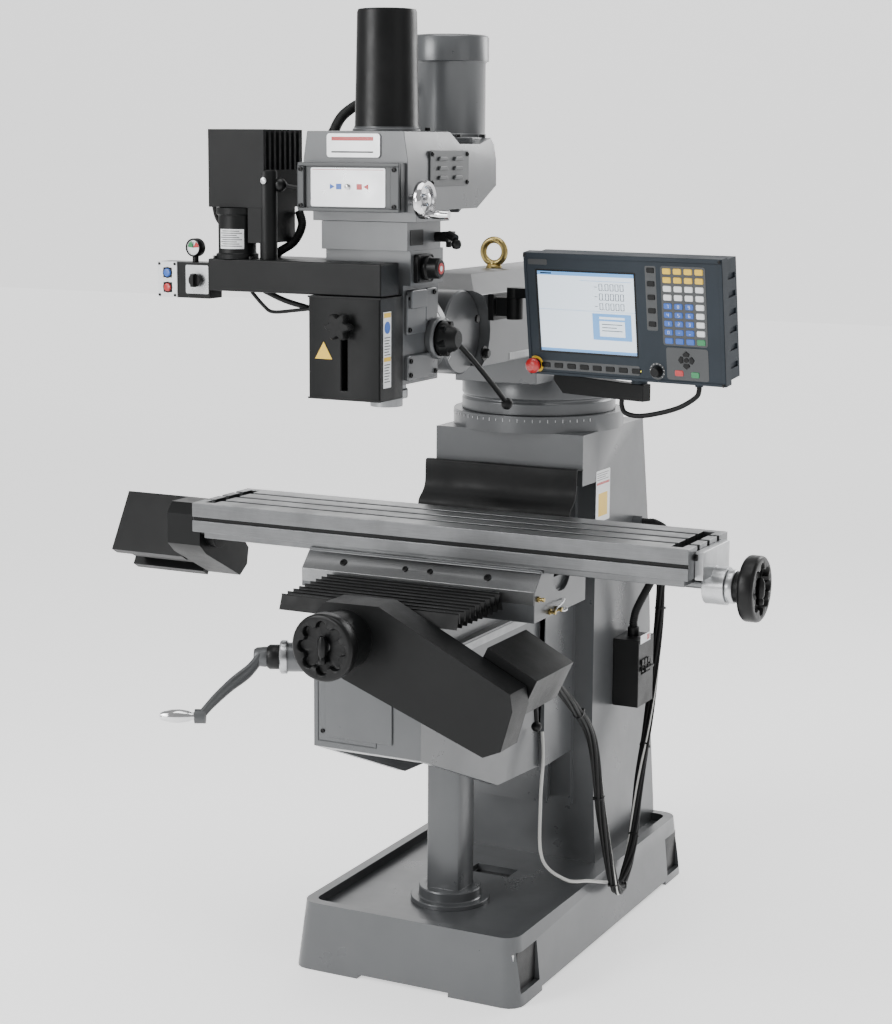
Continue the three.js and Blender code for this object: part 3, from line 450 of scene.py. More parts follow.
def wheel_mesh(bm, at, direction, side):
    """Handwheel with a smooth rim and a lobed recess in its face."""
    d, side = Vector(direction), Vector(side)
    up = d.cross(side)
    rows = [(WHEEL_BORE, 0, 0), (48, 0, 0), (69, 4.5, 0), (72.5, 8, 0), (73.8, 12, 0), (73.8, 33, 0),
        (72.5, 37, 0), (69, 39.6, 0), (65, 40, 0), (1.6, 40, 1), (0, 38.6, 1), (-0.6, 27, 1), (-2.5, 24.6, 1),
        (-5, 24, 1), (WHEEL_BORE, 24, 0)]
    rings = []
    for r, h, lobe in rows:
        rings.append([bm.verts.new(P(*at) + (d * h + (side * math.cos(a) + up * math.sin(a)) * (r
            + (recess_radius(a) if lobe else 0))) / 1000) for a in circle(192)])
    join_rings(bm, rings + rings[:1])


made("y_wheel", "black_plastic", "cross_screw", lambda bm: wheel_mesh(bm, (0, -411, 894), FRONT, RIGHT), 0.0,
    50, ["y_handwheel"])


def x_wheel_parts(bm):
    wheel_mesh(bm, (738, 127, 992), RIGHT, BACK)
    lathe_mm(bm, [(WHEEL_BORE, 18), (34, 18), (35, 20), (35, 36), (WHEEL_BORE, 36)], X_DIAL_AT, RIGHT, 64)


made("x_wheel", "black_plastic", "long_screw", x_wheel_parts, 0.0, 50, ["x_handwheel"])
made("x_dial", "aluminium", "long_screw", turned([(WHEEL_BORE, 1), (37, 1), (38, 3), (38, 15), (36, 17.5),
    (WHEEL_BORE, 17.5)], X_DIAL_AT, RIGHT, 72), 0.0, 40)


def grip_mesh(bm, at, direction):
    lathe_mm(bm, [(0, -6), (8, -6), (9, -4), (9, 4), (7, 8), (10, 14), (11, 30), (10, 44), (6, 53), (0, 54)],
        at, direction, 32)


made("y_wheel_grip", "black_plastic", "cross_handle", lambda bm: grip_mesh(bm, (0, -446.5, 866), UP), 0.0, 40,
    ["y_wheel_handle"])
made("x_wheel_grip", "black_plastic", "long_handle", lambda bm: grip_mesh(bm, (773.5, 127, 964), UP), 0.0, 40,
    ["x_wheel_handle"])

CRANK = Vector((-0.9, -0.44, 0)).normalized()
DIAL = Vector((-200, -253, 810))
ARM_END = Vector((-320, -430, 700))


def on_crank(t, base=DIAL):
    return tuple(base + CRANK * t)


def crank_mesh(bm):
    lathe_mm(bm, [(0, 46), (22, 46), (23, 50), (21, 70), (17, 76), (0, 76)], tuple(DIAL), CRANK, 40)
    start = DIAL + CRANK * 62
    line = [start, start.lerp(ARM_END, 0.25) + Vector((4, 8, 0)), start.lerp(ARM_END, 0.55)
        + Vector((4, 6, 8)), start.lerp(ARM_END, 0.8) + Vector((2, 0, 6)), ARM_END]
    points = smooth_line([P(*p) for p in line], 6)
    rings = []
    for i, p in enumerate(points):
        t = (points[min(i + 1, len(points) - 1)] - points[max(i - 1, 0)]).normalized()
        width = Vector(CRANK).cross(t).normalized()
        thick = t.cross(width)
        s = i / (len(points) - 1)
        w, h = 0.023 - 0.008 * s, 0.0105 - 0.002 * s
        rings.append([bm.verts.new(p + width * w * math.cos(a) + thick * h * math.sin(a))
            for a in circle(16)])
    bm.faces.new(list(reversed(rings[0])))
    join_rings(bm, rings)
    bm.faces.new(rings[-1])
    cyl_mm(bm, on_crank(-12, ARM_END), on_crank(12, ARM_END), 16, 32)


made("crank_arm", "cast", "crank", crank_mesh, 0.0, 50, ["knee_crank"])
made("crank_dial", "aluminium", "crank", turned([(0, 0.3), (37, 0.3), (38, 2), (38, 14), (35, 17), (0, 17)],
    tuple(DIAL), CRANK, 72), 0.0, 40)
made("crank_collar", "black_plastic", "crank", turned([(0, 17), (27, 17), (28, 19), (28, 40), (24, 46),
    (0, 46)], tuple(DIAL), CRANK, 48), 0.0, 40)
made("crank_grip_turned", "chrome", "crank_handle", turned([(0, 12.3), (9, 12.3), (8, 18), (12, 26), (15, 45),
    (14.5, 62), (11, 80), (7, 88), (0, 90)], tuple(ARM_END), CRANK, 40), 0.0, 40, ["crank_grip"])


def feed_lever_mesh(bm):
    lathe_mm(bm, [(0, 0.3), (36, 0.3), (38, 4), (37, 12), (28, 26), (24, 36), (18, 42), (0, 42)],
        (104, -100, 1528), RIGHT, 64)
    for i in range(6):
        a = math.radians(60 * i + 15)
        c = (118, -100 + 31 * math.cos(a), 1528 + 31 * math.sin(a))
        cyl_mm(bm, (110, c[1], c[2]), (126, c[1], c[2]), 8, 24)
    add_tube(bm, [P(134, -100, 1528), P(150, -45, 1482), P(168, 25, 1420), P(179, 76, 1374)], 0.0062, 16, 6)
    lathe_mm(bm, [(0, -14), (5, -13), (10, -9.5), (13.2, -4), (14, 0), (13.2, 4), (10, 9.5), (5, 13),
        (0, 14)], (180, 80, 1370), (0.15, 0.65, -0.6), 32)


made("feed_lever_parts", "black_paint", "feed_lever", feed_lever_mesh, 0.0, 45, ["quill_feed_lever"])


def speed_wheel_mesh(bm):
    at = (125, -285, 1833)
    lathe_mm(bm, [(0, 0.3), (12, 0.3), (12, 20), (30, 21), (30, 24), (38, 22), (40, 25), (40, 36), (37, 40),
        (30, 38), (28, 30), (14, 30), (13, 40), (9, 42), (0, 42)], at, RIGHT, 72)
    lathe_mm(bm, [(0, 34), (6, 34), (6, 44), (9, 50), (9.5, 70), (8, 88), (0, 89)], (125, -285, 1803), RIGHT,
        32)


made("speed_wheel_parts", "chrome", "speed_crank", speed_wheel_mesh, 0.0, 40, ["speed_wheel"])


# ---- head details
def label(name, body, mat, build, bevel=0.0003, slot=None):
    made(name, mat, body, build, bevel, slot=slot)


def screws(name, body, spots, direction, r, h):
    """One piece with a socket head screw of radius r and height h at each spot."""
    made(name, "black_plastic", body, lambda bm: [hex_bolt(bm, spot, direction, r, h) for spot in spots], 0.0,
        40)


def dial_bezel(bm):
    for x0, x1, z0, z1 in ((-121, 121, 1900, 1908), (-121, 121, 1806, 1813), (-121, -106, 1813, 1900),
            (100, 121, 1813, 1900)):
        box_mm(bm, x0, x1, -334, -325.5, z0, z1)


made("dial_bezel", "paint_dark", "head", dial_bezel, 0.002)
label("dial_face", "head", "silver_label", pushed(rounded(-92, 86, 1816, 1897, 4), "Y", -327.6, -325.8))
label("dial_line", "head", "red_plastic", lambda bm: (box_mm(bm, -88, 82, -328.0, -327.5, 1892.5, 1893.6),
    prism(bm, [(34, 1858), (46, 1864), (46, 1852)], "Y", -328.1, -327.4), box_mm(bm, 18, 31, -328.1, -327.4,
    1852, 1864)))
label("dial_blue", "head", "blue_plastic", lambda bm: (prism(bm, [(-34, 1858), (-46, 1864), (-46, 1852)], "Y",
    -328.1, -327.4), box_mm(bm, -31, -18, -328.1, -327.4, 1852, 1864)), slot="console_plastic")
made("dial_stud", "chrome", "head", turned([(0, 0), (6, 0), (6, 3), (3, 5), (0, 5)], (-3, -327.5, 1858),
    FRONT, 24))
screws("dial_screws", "head", [(x, -334, z) for x in (-113, 110) for z in (1818, 1894)], FRONT, 5, 3)
label("name_plate", "head", "silver_label", pushed(rounded(-66, 62, 1918, 1968, 7), "Y", -306, -301.8),
    0.0008)
label("name_bar", "head", "red_plastic", boxed(-54, 46, -306.6, -305.8, 1953, 1961))
label("name_block", "head", "black_plastic", boxed(-54, 46, -306.6, -305.8, 1928, 1931))


def vent_plate(bm):
    prism(bm, rounded(-205, -20, 1858, 1934, 8), "X", 124.8, 128.5)


made("vent_plate", "paint_dark", "head", vent_plate, 0.001)


def louvres(bm):
    for y in (-150, -76):
        for z in (1876, 1896, 1916):
            prism(bm, [(y - 22, z - 4), (y + 22, z - 4), (y + 16, z + 5), (y - 16, z + 5)], "X", 128.3, 133.5)


made("vent_louvres", "paint_dark", "head", louvres, 0.002)
screws("vent_screws", "head", [(128.5, y, z) for y in (-196, -29) for z in (1866, 1926)], RIGHT, 5, 3)


def belt_lip(bm):
    prism(bm, [(31, 1796), (118, 1840), (118, 1852), (31, 1808)], "X", -80, 80)
    prism(bm, rounded(-98, 98, 52, 132, 8), "Z", 1948, 1962.5)


made("housing_lip", "paint", "head", belt_lip, 0.003)
screws("motor_flange_bolts", "head", [(62, 60, 1962), (92, 122, 1962), (-90, 70, 1962), (60, -84, 1975)], UP,
    7, 7)
made("drawbar_foot", "paint", "head", turned([(0, -1), (74, -1), (74, 3), (71, 5), (71, 8), (0, 8)],
    DRAWBAR_AT, UP, 96))


def control_module(bm):
    prism(bm, rounded(-232, -158, 1655, 1716, 6), "X", 102.5, 113)
    lathe_mm(bm, [(0, 0), (25, 0), (26, 2), (26, 10), (22, 12), (22, 34), (19, 37), (0, 37)],
        (113, -195, 1686), RIGHT, 48)


made("feed_selector_block", "black_plastic", "head", control_module, 0.0015)
made("feed_selector_mark", "red_plastic", "head", turned([(6, 0), (12, 0), (12, 0.8), (6, 0.8), (6, 0)],
    SELECTOR_FACE_AT, RIGHT, 32))
made("feed_selector_face", "white_label", "head", turned([(0, 0), (6.5, 0), (6.5, 0.7), (0, 0.7)],
    SELECTOR_FACE_AT, RIGHT, 32))
label("data_plate", "head", "black_plastic", pushed(rounded(-250, -190, 1735, 1768, 3), "X", 103.5, 105))
screws("module_screws", "head", [(113, y, z) for y in (-226, -164) for z in (1662, 1709)], RIGHT, 4, 2)


def lube_valve(bm):
    cyl_mm(bm, (100, -128, 1750), (128, -128, 1750), 11)
    box_mm(bm, 126, 142, -146, -110, 1740, 1762)
    cyl_mm(bm, (134, -128, 1742), (134, -128, 1728), 6)
    cyl_mm(bm, (140, -140, 1756), (162, -150, 1748), 9)
    lathe_mm(bm, [(0, -11), (8, -9), (11, -3), (11, 3), (8, 9), (0, 11)], (164, -151, 1736), UP, 24)


made("lube_valve", "black_plastic", "head", lube_valve, 0.0012)


def housing_pads(bm):
    prism(bm, rounded(-238, -150, 1545, 1632, 6), "X", 84.5, 92)
    prism(bm, rounded(-238, -96, 1446, 1500, 6), "X", 84.5, 94)
    prism(bm, rounded(-146, -92, 1568, 1640, 10), "X", 84.5, 90)
    lathe_mm(bm, [(0, 0), (46, 0), (46, 14), (42, 19), (0, 19)], (85, -100, 1528), RIGHT, 64)
    prism(bm, rounded(-232, -160, 1600, 1640, 6), "X", 84.5, 100)


made("housing_pads", "paint", "head", housing_pads, 0.004)
screws("housing_bolts", "head", [(92, -228, 1622), (92, -228, 1555), (94, -226, 1458), (94, -110, 1458),
    (94, -226, 1488), (90, -110, 1630)], RIGHT, 5.5, 4)
made("quill_collar", "steel_z", "quill_body", turned([(37, -1), (46, -1), (47, 1), (47, 17), (45, 19),
    (43.2, 20), (43.2, 36), (37, 36), (37, -1)], (0, -160, 1400), UP, 72))


def cover_edge(bm):
    for x0, x1, z0, z1 in ((-88, 88, 1411, 1415), (-88, 88, 1626, 1630)):
        box_mm(bm, x0, x1, -351, -349, z0, z1)
    prism(bm, [(-352, 1414), (-290, 1414), (-290, 1628), (-352, 1628)], "X", 87.6, 88.6)


made("front_cover_lips", "black_paint", "head", cover_edge, 0.0005)
label("caution_triangle", "head", "yellow_plastic", pushed([(-70, 1497), (-28, 1497), (-49, 1534)], "Y",
    -350.9, -349.8), 0.0015)
label("side_label", "head", "white_label", boxed(88.4, 89.2, -340, -306, 1440, 1600), 0.0002)
label("side_label_bands", "head", "yellow_plastic", lambda bm: (box_mm(bm, 89.1, 89.5, -338, -308, 1588,
    1598), box_mm(bm, 89.1, 89.5, -338, -308, 1496, 1505)), 0.0001)
label("side_label_disc", "head", "blue_plastic", turned([(0, 0), (13, 0), (13, 0.5), (0, 0.5)],
    (89.0, -323, 1567), RIGHT, 32), 0.0, slot="console_plastic")
label("side_label_lines", "head", "paint_dark", lambda bm: [box_mm(bm, 89.1, 89.4, -336, -310 - (i % 3) * 3,
    1545 - i * 6, 1547 - i * 6) for i in range(7)] + [box_mm(bm, 89.1, 89.4, -336, -311 - (i % 3) * 3, 1488
    - i * 6, 1490 - i * 6) for i in range(7)], 0.0)


def star_knob(bm):
    """Clamp knob with six lobes."""
    rings = []
    for depth, scale in ((-359, 0.9), (-361, 1.0), (-379, 1.0), (-383, 0.88), (-384, 0.45)):
        spots = [(scale * (25.0 + 5.5 * math.cos(6 * a)), a) for a in circle(96)]
        rings.append([bm.verts.new(P(r * math.cos(a), depth, 1568 + r * math.sin(a))) for r, a in spots])
    bm.faces.new(rings[0])
    bm.faces.new(rings[-1])
    join_rings(bm, rings)


made("star_knob", "rubber", "quill_knob", star_knob, 0.0, 40, ["quill_clamp_knob"], slot="black_plastic")


# Z drive on the left of the head
def z_motor_parts(bm):
    lathe_mm(bm, [(0, 0.4), (46, 0.4), (46, 10), (42, 12), (41, 14), (41, 92), (45, 96), (45, 109), (0, 109)],
        (-290, -304, 1700), UP, 64)
    lathe_mm(bm, [(0, 0), (19, 0), (19, 186), (16, 190), (0, 190)], (-206, -312, 1700.5), UP, 48)
    prism(bm, rounded(-340, -330, -262, -215, 3), "Z", 1760, 1812)


made("z_motor_parts", "black_paint", "head", z_motor_parts, 0.0, 40, ["z_servo_motor"])


def curved_label(bm, cx, cy, r, a0, a1, z0, z1):
    low, high = [], []
    for i in range(13):
        a = math.radians(a0 + (a1 - a0) * i / 12)
        low.append(bm.verts.new(P(cx + r * math.sin(a), cy - r * math.cos(a), z0)))
        high.append(bm.verts.new(P(cx + r * math.sin(a), cy - r * math.cos(a), z1)))
    for i in range(12):
        bm.faces.new([low[i], low[i + 1], high[i + 1], high[i]])


made("motor_label", "white_label", "head", lambda bm: curved_label(bm, -290, -304, 41.5, -28, 52, 1722, 1764))
made("motor_label_lines", "paint_dark", "head", lambda bm: [curved_label(bm, -290, -304, 41.8, -24 + (i % 2)
    * 6, 46 - (i % 3) * 8, 1727 + i * 4.6, 1728.6 + i * 4.6) for i in range(8)])
made("tube_cap", "silver_label", "head", turned([(0, 0), (7, 0), (7, 2), (5, 3), (0, 3)], (-206, -331, 1868),
    FRONT, 24))


def switch_face(bm):
    """White face plate with two round wells left open for the push buttons."""
    for x0, x1, z0, z1 in ((-474, -459.5, 1612, 1690), (-436.5, -424, 1612, 1690),
            (-459.5, -436.5, 1612, 1623), (-459.5, -436.5, 1645, 1655), (-459.5, -436.5, 1677, 1690)):
        box_mm(bm, x0, x1, -340.5, -337.9, z0, z1)


made("switch_face", "white_label", "head", switch_face, 0.0)
for node, z in (("start_button", 1666), ("stop_button", 1634)):
    made(node + "_cap", SLOT[node], BODY[node], lambda bm, z=z: lathe_mm(bm, [(0, 0.3), (9, 0.3), (9, 5),
        (7.5, 7), (0, 8.5)], (-448, -338, z), FRONT, 40), 0.0, 40, [node])
    made(node + "_ring", "black_plastic", "head", lambda bm, z=z: lathe_mm(bm, [(9.7, 0), (12, 0), (12, 3.4),
        (9.7, 3.4), (9.7, 0)], (-448, -338, z), FRONT, 40))
made("selector_plate", "silver_label", "head", pushed(rounded(-402, -344, 1622, 1684, 3), "Y", -338.3,
    -337.6))
screws("switch_screws", "head", [(x, -340.5, z) for x in (-469, -429) for z in (1617, 1685)], FRONT, 3, 1.5)
screws("housing_top_bolts", "head", [(x, y, 1700) for x, y in ((-330, -330), (-240, -330), (-330, -275))], UP,
    5, 6)


def gauge(bm):
    cyl_mm(bm, (-391, -315, 1688), (-391, -315, 1704), 7)
    lathe_mm(bm, [(0, 0), (18, 0), (20, 2), (20, 20), (18, 23), (16.5, 23), (16.5, 19), (0, 19)],
        (-391, -304, 1721), FRONT, 48)


made("pressure_gauge", "black_plastic", "head", gauge, 0.0, 40)
made("gauge_face", "white_label", "head", turned([(0, 0), (16.3, 0), (16.3, 0.6), (0, 0.6)],
    (-391, -323.2, 1721), FRONT, 40))
made("gauge_green", "green_plastic", "head", pushed([(-391, 1721), (-405, 1722), (-402, 1731), (-395, 1735)],
    "Y", -324.4, -323.7))
made("gauge_red", "red_plastic", "head", pushed([(-391, 1721), (-384, 1734), (-378, 1728), (-377, 1722)], "Y",
    -324.4, -323.7))
made("gauge_needle", "black_plastic", "head", boxed(-392, -390.4, -325, -324.2, 1721, 1733))


def head_cables(bm):
    add_tube(bm, [P(-346, -255, 1892), P(-362, -262, 1880), P(-372, -268, 1835), P(-362, -272, 1785),
        P(-338, -262, 1752), P(-336, -262, 1720), P(-336, -262, 1698)], 0.005, 12, 6)
    add_tube(bm, [P(-346, -235, 1880), P(-356, -240, 1850), P(-352, -250, 1800), P(-336, -240, 1770)], 0.004,
        10, 6)
    add_tube(bm, [P(-245, -320, 1630), P(-215, -318, 1600), P(-196, -312, 1588), P(-150, -300, 1592),
        P(-89, -290, 1600)], 0.004, 10, 6)
    add_tube(bm, [P(-225, -300, 1632), P(-180, -290, 1612), P(-130, -280, 1598), P(-89, -270, 1585)], 0.006,
        12, 6)


made("head_cables", "rubber", "head", head_cables, 0.0, 50)


def ribbed_tube(bm, points, r, pitch=0.0042, ridge=0.0012):
    """Corrugated tube with open ends: ridges every pitch metres along it."""
    line = smooth_line(points, 40)
    rings, travelled, last = [], 0.0, line[0]
    for p, u, v in frames_along(line):
        travelled += (p - last).length
        last = p
        rr = r - ridge * (0.5 + 0.5 * math.cos(2 * math.pi * travelled / pitch))
        rings.append(ring_round(bm, p, u, v, rr, 20))
    join_rings(bm, rings)


def head_conduits(bm):
    ribbed_tube(bm, [P(-196, -200, 1800), P(-186, -205, 1770), P(-200, -215, 1735), P(-232, -225, 1712),
        P(-240, -225, 1699)], 0.010)
    ribbed_tube(bm, [P(-76, 110, 2050), P(-105, 80, 2056), P(-150, 20, 2042), P(-180, -30, 2010),
        P(-190, -60, 1970)], 0.012)


made("head_conduits", "rubber", "head", head_conduits, 0.0, 60)
made("conduit_gland", "black_plastic", "head", boxed(-92, -70, 90, 130, 2030, 2070), 0.003)
made("gear_ball", "black_plastic", "range_lever", turned([(0, -15), (8, -12.5), (13.5, -6), (15, 0),
    (13.5, 6), (8, 12.5), (0, 15)], (-182, -303, 1859), RIGHT, 32))


# ---- ram and turret details
def degree_ticks(bm):
    for i in range(-12, 13):
        a = math.radians(-90 + i * 5)
        c = P(216.5 * math.cos(a), 660 + 216.5 * math.sin(a), 1280)
        h = 0.008 if i % 2 == 0 else 0.005
        place = Matrix.Translation(c) @ Matrix.Rotation(a, 4, "Z")
        add_box(bm, (-0.0006, -0.0006, -h / 2), (0.0004, 0.0006, h / 2), place)


made("turret_ticks", "white_label", "base", degree_ticks)
made("ram_bolt", "black_plastic", "ram_body", lambda bm: (lathe_mm(bm, [(0, 0), (17, 0), (17, 3), (0, 3)],
    (110, 103, 1479), RIGHT, 32), lathe_mm(bm, [(0, 3), (11, 3), (11, 12), (9, 14), (0, 14)],
    (110, 103, 1479), RIGHT, 6), lathe_mm(bm, [(0, 0), (9, 0), (9, 5), (0, 5)], (110, 62, 1560), RIGHT, 6)))
made("ram_way_strip", "steel_y", "ram_body", lambda bm: (box_mm(bm, 109.7, 111.2, 240, 900, 1452, 1468),
    box_mm(bm, -111.2, -109.7, 240, 900, 1452, 1468)), 0.0005)


def adapter_bolts(bm):
    for i in range(4):
        a = math.radians(45 + 90 * i)
        c = (0 + 88 * math.cos(a), -55, 1530 + 88 * math.sin(a))
        lathe_mm(bm, [(0, 0), (9, 0), (9, 14), (7, 16), (0, 16)], c, BACK, 6)


made("adapter_bolts", "black_plastic", "adapter", adapter_bolts)
made("nod_scale", "white_label", "adapter", lambda bm: [add_box(bm, (-0.001, -0.0006, -0.004 if i % 2 else
    -0.007), (0.0004, 0.0006, 0.004 if i % 2 else 0.007), Matrix.Translation(P(84.8, 40, 1530)
    + Vector((0.0008, -0.082 * math.cos(math.radians(i * 5 - 40)), 0.082
    * math.sin(math.radians(i * 5 - 40))))) @ Matrix.Rotation(-math.radians(i * 5 + 50), 4, "X"))
    for i in range(14)])


def twisted(bm, line, strands, ring, r, turns, phase=0.0):
    """Strands laid round a centre line, each a round cord that turns about it."""
    frames = list(frames_along(line))
    for k in range(strands):
        a0 = phase + 2 * math.pi * k / strands
        points = []
        for i, (p, u, v) in enumerate(frames):
            a = a0 + 2 * math.pi * turns * i / len(frames)
            squeeze = min(1.0, 4 * i / len(frames), 4 * (len(frames) - 1 - i) / len(frames)) * 0.35 + 0.65
            points.append(p + (u * math.cos(a) + v * math.sin(a)) * ring * squeeze)
        add_tube(bm, points[::3] + [points[-1]], r, 8, 3)


CONDUIT = [P(*q) for q in ((236, 750, 725.6), (236, 750, 740), (242, 760, 775), (270, 795, 850),
    (292, 822, 920), (286, 830, 968), (258, 830, 985), (240, 830, 985), (224.6, 830, 985))]
BUNDLE = [P(*q) for q in ((330, -59.4, 776), (330, -45, 776), (331, -20, 770), (332, 25, 748),
    (331, 140, 668), (330, 256, 560), (330, 326, 352), (330, 405, 170), (322, 470, 118), (308, 540, 130),
    (300, 610, 195), (280, 700, 330), (262, 810, 490), (246, 905, 700), (250, 905, 850), (258, 890, 918),
    (242, 885, 930), (224.6, 885, 930))]
THIN = [P(*q) for q in ((160, 350, 534), (172, 330, 470), (180, 300, 370), (208, 250, 250), (255, 286, 192),
    (290, 345, 176), (303, 395, 160), (305, 430, 148))]
PENDANT = [P(*q) for q in ((651, 42, 1437.4), (651, 42, 1430), (644, 43, 1415), (606, 50, 1391),
    (556, 58, 1374), (506, 64, 1364), (472, 70, 1368), (462, 72, 1384), (462, 72, 1397.4))]


conduit = made("conduit_run", "rubber", "base", lambda bm: ribbed_tube(bm, CONDUIT, 0.011, 0.005, 0.0014),
    0.0, 60, ["breaker_conduit"])
smooth_line(CONDUIT, 40)
bundle_core = made("servo_bundle_core", "rubber", None, lambda bm: add_tube(bm, BUNDLE, 0.0065, 12, 10), 0.0,
    50)
bundle_line = smooth_line(BUNDLE, 24)
bundle_strands = made("servo_bundle_strands", "rubber", None, lambda bm: twisted(bm, bundle_line, 6, 0.0082,
    0.0046, 3.0), 0.0, 50, ["servo_cable_bundle"])
bundle_white = made("servo_bundle_white", "light_plastic", None, lambda bm: twisted(bm, bundle_line, 1,
    0.0092, 0.0036, 2.6, 0.9), 0.0, 50)


def ties(bm):
    for share in (0.10, 0.17, 0.25, 0.34, 0.42, 0.50, 0.60, 0.68, 0.78, 0.88):
        i = int(share * (len(bundle_line) - 1))
        p = bundle_line[i]
        t = (bundle_line[i + 1] - bundle_line[i - 1]).normalized()
        side = t.orthogonal().normalized()
        add_lathe(bm, [(0.0118, -0.0022), (0.0133, -0.0022), (0.0133, 0.0022), (0.0118, 0.0022),
            (0.0118, -0.0022)], p, t, 28)
        add_box(bm, (-0.003, -0.003, -0.003), (0.004, 0.003, 0.003), Matrix.Translation(p + side * 0.0128)
            @ turn_to(t))


bundle_ties = made("servo_bundle_ties", "black_plastic", None, ties, 0.0, 40)
thin_cord = made("thin_cable_run", "light_plastic", None, lambda bm: add_tube(bm, THIN, 0.004, 12, 12), 0.0,
    50, ["thin_cable"])
for piece in (bundle_core, bundle_strands, bundle_white, bundle_ties):
    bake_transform(piece)
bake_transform(thin_cord)
smooth_line(BUNDLE, 10)
smooth_line(THIN, 12)
pendant = made("pendant_cable_run", "rubber", None, lambda bm: add_tube(bm, PENDANT, 0.0055, 14, 12), 0.0, 50,
    ["console_cable"])
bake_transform(pendant)
smooth_line(PENDANT, 12)


def flat_length(line):
    """Length in metres of a line of (y, z) millimetres."""
    return sum(math.hypot(b[0] - a[0], b[1] - a[1]) for a, b in zip(line, line[1:])) / 1000


def strip(bm, line, x0, x1, thickness, columns, wave=0.0):
    """A sheet swept across X along a (y, z) line, with a real thickness."""
    normals = []
    for i in range(len(line)):
        a, b = line[max(i - 1, 0)], line[min(i + 1, len(line) - 1)]
        d = Vector((b[0] - a[0], b[1] - a[1])).normalized()
        normals.append((-d.y, d.x))
    grid = {}
    for side in (0, 1):
        for i, (y, z) in enumerate(line):
            off = (side - 0.5) * thickness
            for c in range(columns + 1):
                x = x0 + (x1 - x0) * c / columns
                sag = wave * math.sin(math.pi * i / (len(line) - 1)) * math.cos(2.3 * math.pi * c / columns
                    + i * 0.22)
                grid[side, i, c] = bm.verts.new(P(x, y + normals[i][0] * (off + sag), z + normals[i][1]
                    * (off + sag)))
    n = len(line) - 1
    for side in (0, 1):
        for i in range(n):
            for c in range(columns):
                bm.faces.new([grid[side, i, c], grid[side, i, c + 1], grid[side, i + 1, c + 1],
                    grid[side, i + 1, c]])
    for i in range(n):
        for c in (0, columns):
            bm.faces.new([grid[0, i, c], grid[1, i, c], grid[1, i + 1, c], grid[0, i + 1, c]])
    for i in (0, n):
        for c in range(columns):
            bm.faces.new([grid[0, i, c], grid[0, i, c + 1], grid[1, i, c + 1], grid[1, i, c]])


GUARD = [(479.6, 1166), (446, 1170), (440, 1160), (437, 1115), (424, 1092), (407, 1077), (400, 1062),
    (403, 1035), (411, 1000), (414, 897)]
guard_line = [(v.x * 1000, v.y * 1000) for v in smooth_line([(y / 1000, z / 1000, 0) for y, z in GUARD], 8)]
guard = made("chip_guard_sheet", "rubber", None, lambda bm: strip(bm, guard_line, -209, 202, 2.6, 24, 0.9),
    0.0, 50, ["chip_guard"])
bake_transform(guard)
flat_length(guard_line)

PLEATS = 9


def fold_at(fold):
    """(y, z) of a fold of the bellows at its crest."""
    share = fold / (PLEATS * 2)
    return -23 - share * 230, 950 + 9 * (1 - share)


fold_line = [fold_at(fold) if fold % 2 else (fold_at(fold)[0], 917) for fold in range(PLEATS * 2 + 1)]
bellows = made("way_bellows_pleats", "rubber", None, lambda bm: strip(bm, fold_line, -222, 222, 1.5, 12), 0.0,
    25, ["way_bellows"])
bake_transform(bellows)
flat_length(fold_line)


# ---- console face
FACE_AT = P(407.6, -7.6, 1589.5)
FACE_RIGHT = Vector((0.99297, -0.11840, 0.0))
FACE_IN = Vector((0.117193, 0.982814, 0.142629))
FACE_UP = Vector((-0.016888, -0.141626, 0.989776))


def face_point(r, u, out):
    return FACE_AT + (FACE_RIGHT * r + FACE_UP * u - FACE_IN * out) / 1000


def face_prism(bm, outline, out0, out1, shrink=0.0):
    """An outline in (right, up) millimetres pushed out of the panel; the front can be a little smaller."""
    cr = sum(p[0] for p in outline) / len(outline)
    cu = sum(p[1] for p in outline) / len(outline)
    close_prism(bm, [face_point(r, u, out0) for r, u in outline], [face_point(cr + (r - cr) * (1 - shrink), cu
        + (u - cu) * (1 - shrink), out1) for r, u in outline])


def face_box(bm, r0, r1, u0, u1, out0, out1):
    face_prism(bm, [(r0, u0), (r1, u0), (r1, u1), (r0, u1)], out0, out1)


SEGMENT_BARS = {"a": (0.12, 0.94, 0.88, 1.0), "b": (0.82, 0.52, 1.0, 0.96), "c": (0.82, 0.04, 1.0, 0.48),
    "d": (0.12, 0.0, 0.88, 0.08), "e": (0.0, 0.04, 0.18, 0.48), "f": (0.0, 0.52, 0.18, 0.96),
    "g": (0.12, 0.46, 0.88, 0.54)}
DIGIT_BARS = {"0": "abcdef", "1": "bc", "2": "abged", "3": "abgcd", "4": "fgbc", "5": "afgcd", "6": "afgedc",
    "7": "abc", "8": "abcdefg", "9": "abfgcd", "-": "g", ".": ""}


def digits(bm, text, r, u, width, height, pitch, out):
    for symbol in text:
        if symbol == ".":
            face_box(bm, r - pitch * 0.12, r + pitch * 0.06, u, u + height * 0.1, out, out + 0.25)
            r += pitch * 0.22
            continue
        for bar in DIGIT_BARS[symbol]:
            x0, y0, x1, y1 = SEGMENT_BARS[bar]
            face_box(bm, r + x0 * width, r + x1 * width, u + y0 * height, u + y1 * height, out, out + 0.25)
        r += pitch


def con(name, mat, build, bevel=0.0):
    made(name, mat, "console", build, bevel)


def bezel(bm):
    """Raised rim round the front panel with the screen and key fields left open."""
    for r0, r1, u0, u1 in ((-150.5, 327.5, 119, 127.5), (-150.5, 327.5, -142.5, -137),
            (-150.5, -144, -137, 119), (321, 327.5, -137, 119)):
        face_box(bm, r0, r1, u0, u1, 0.2, 2.2)


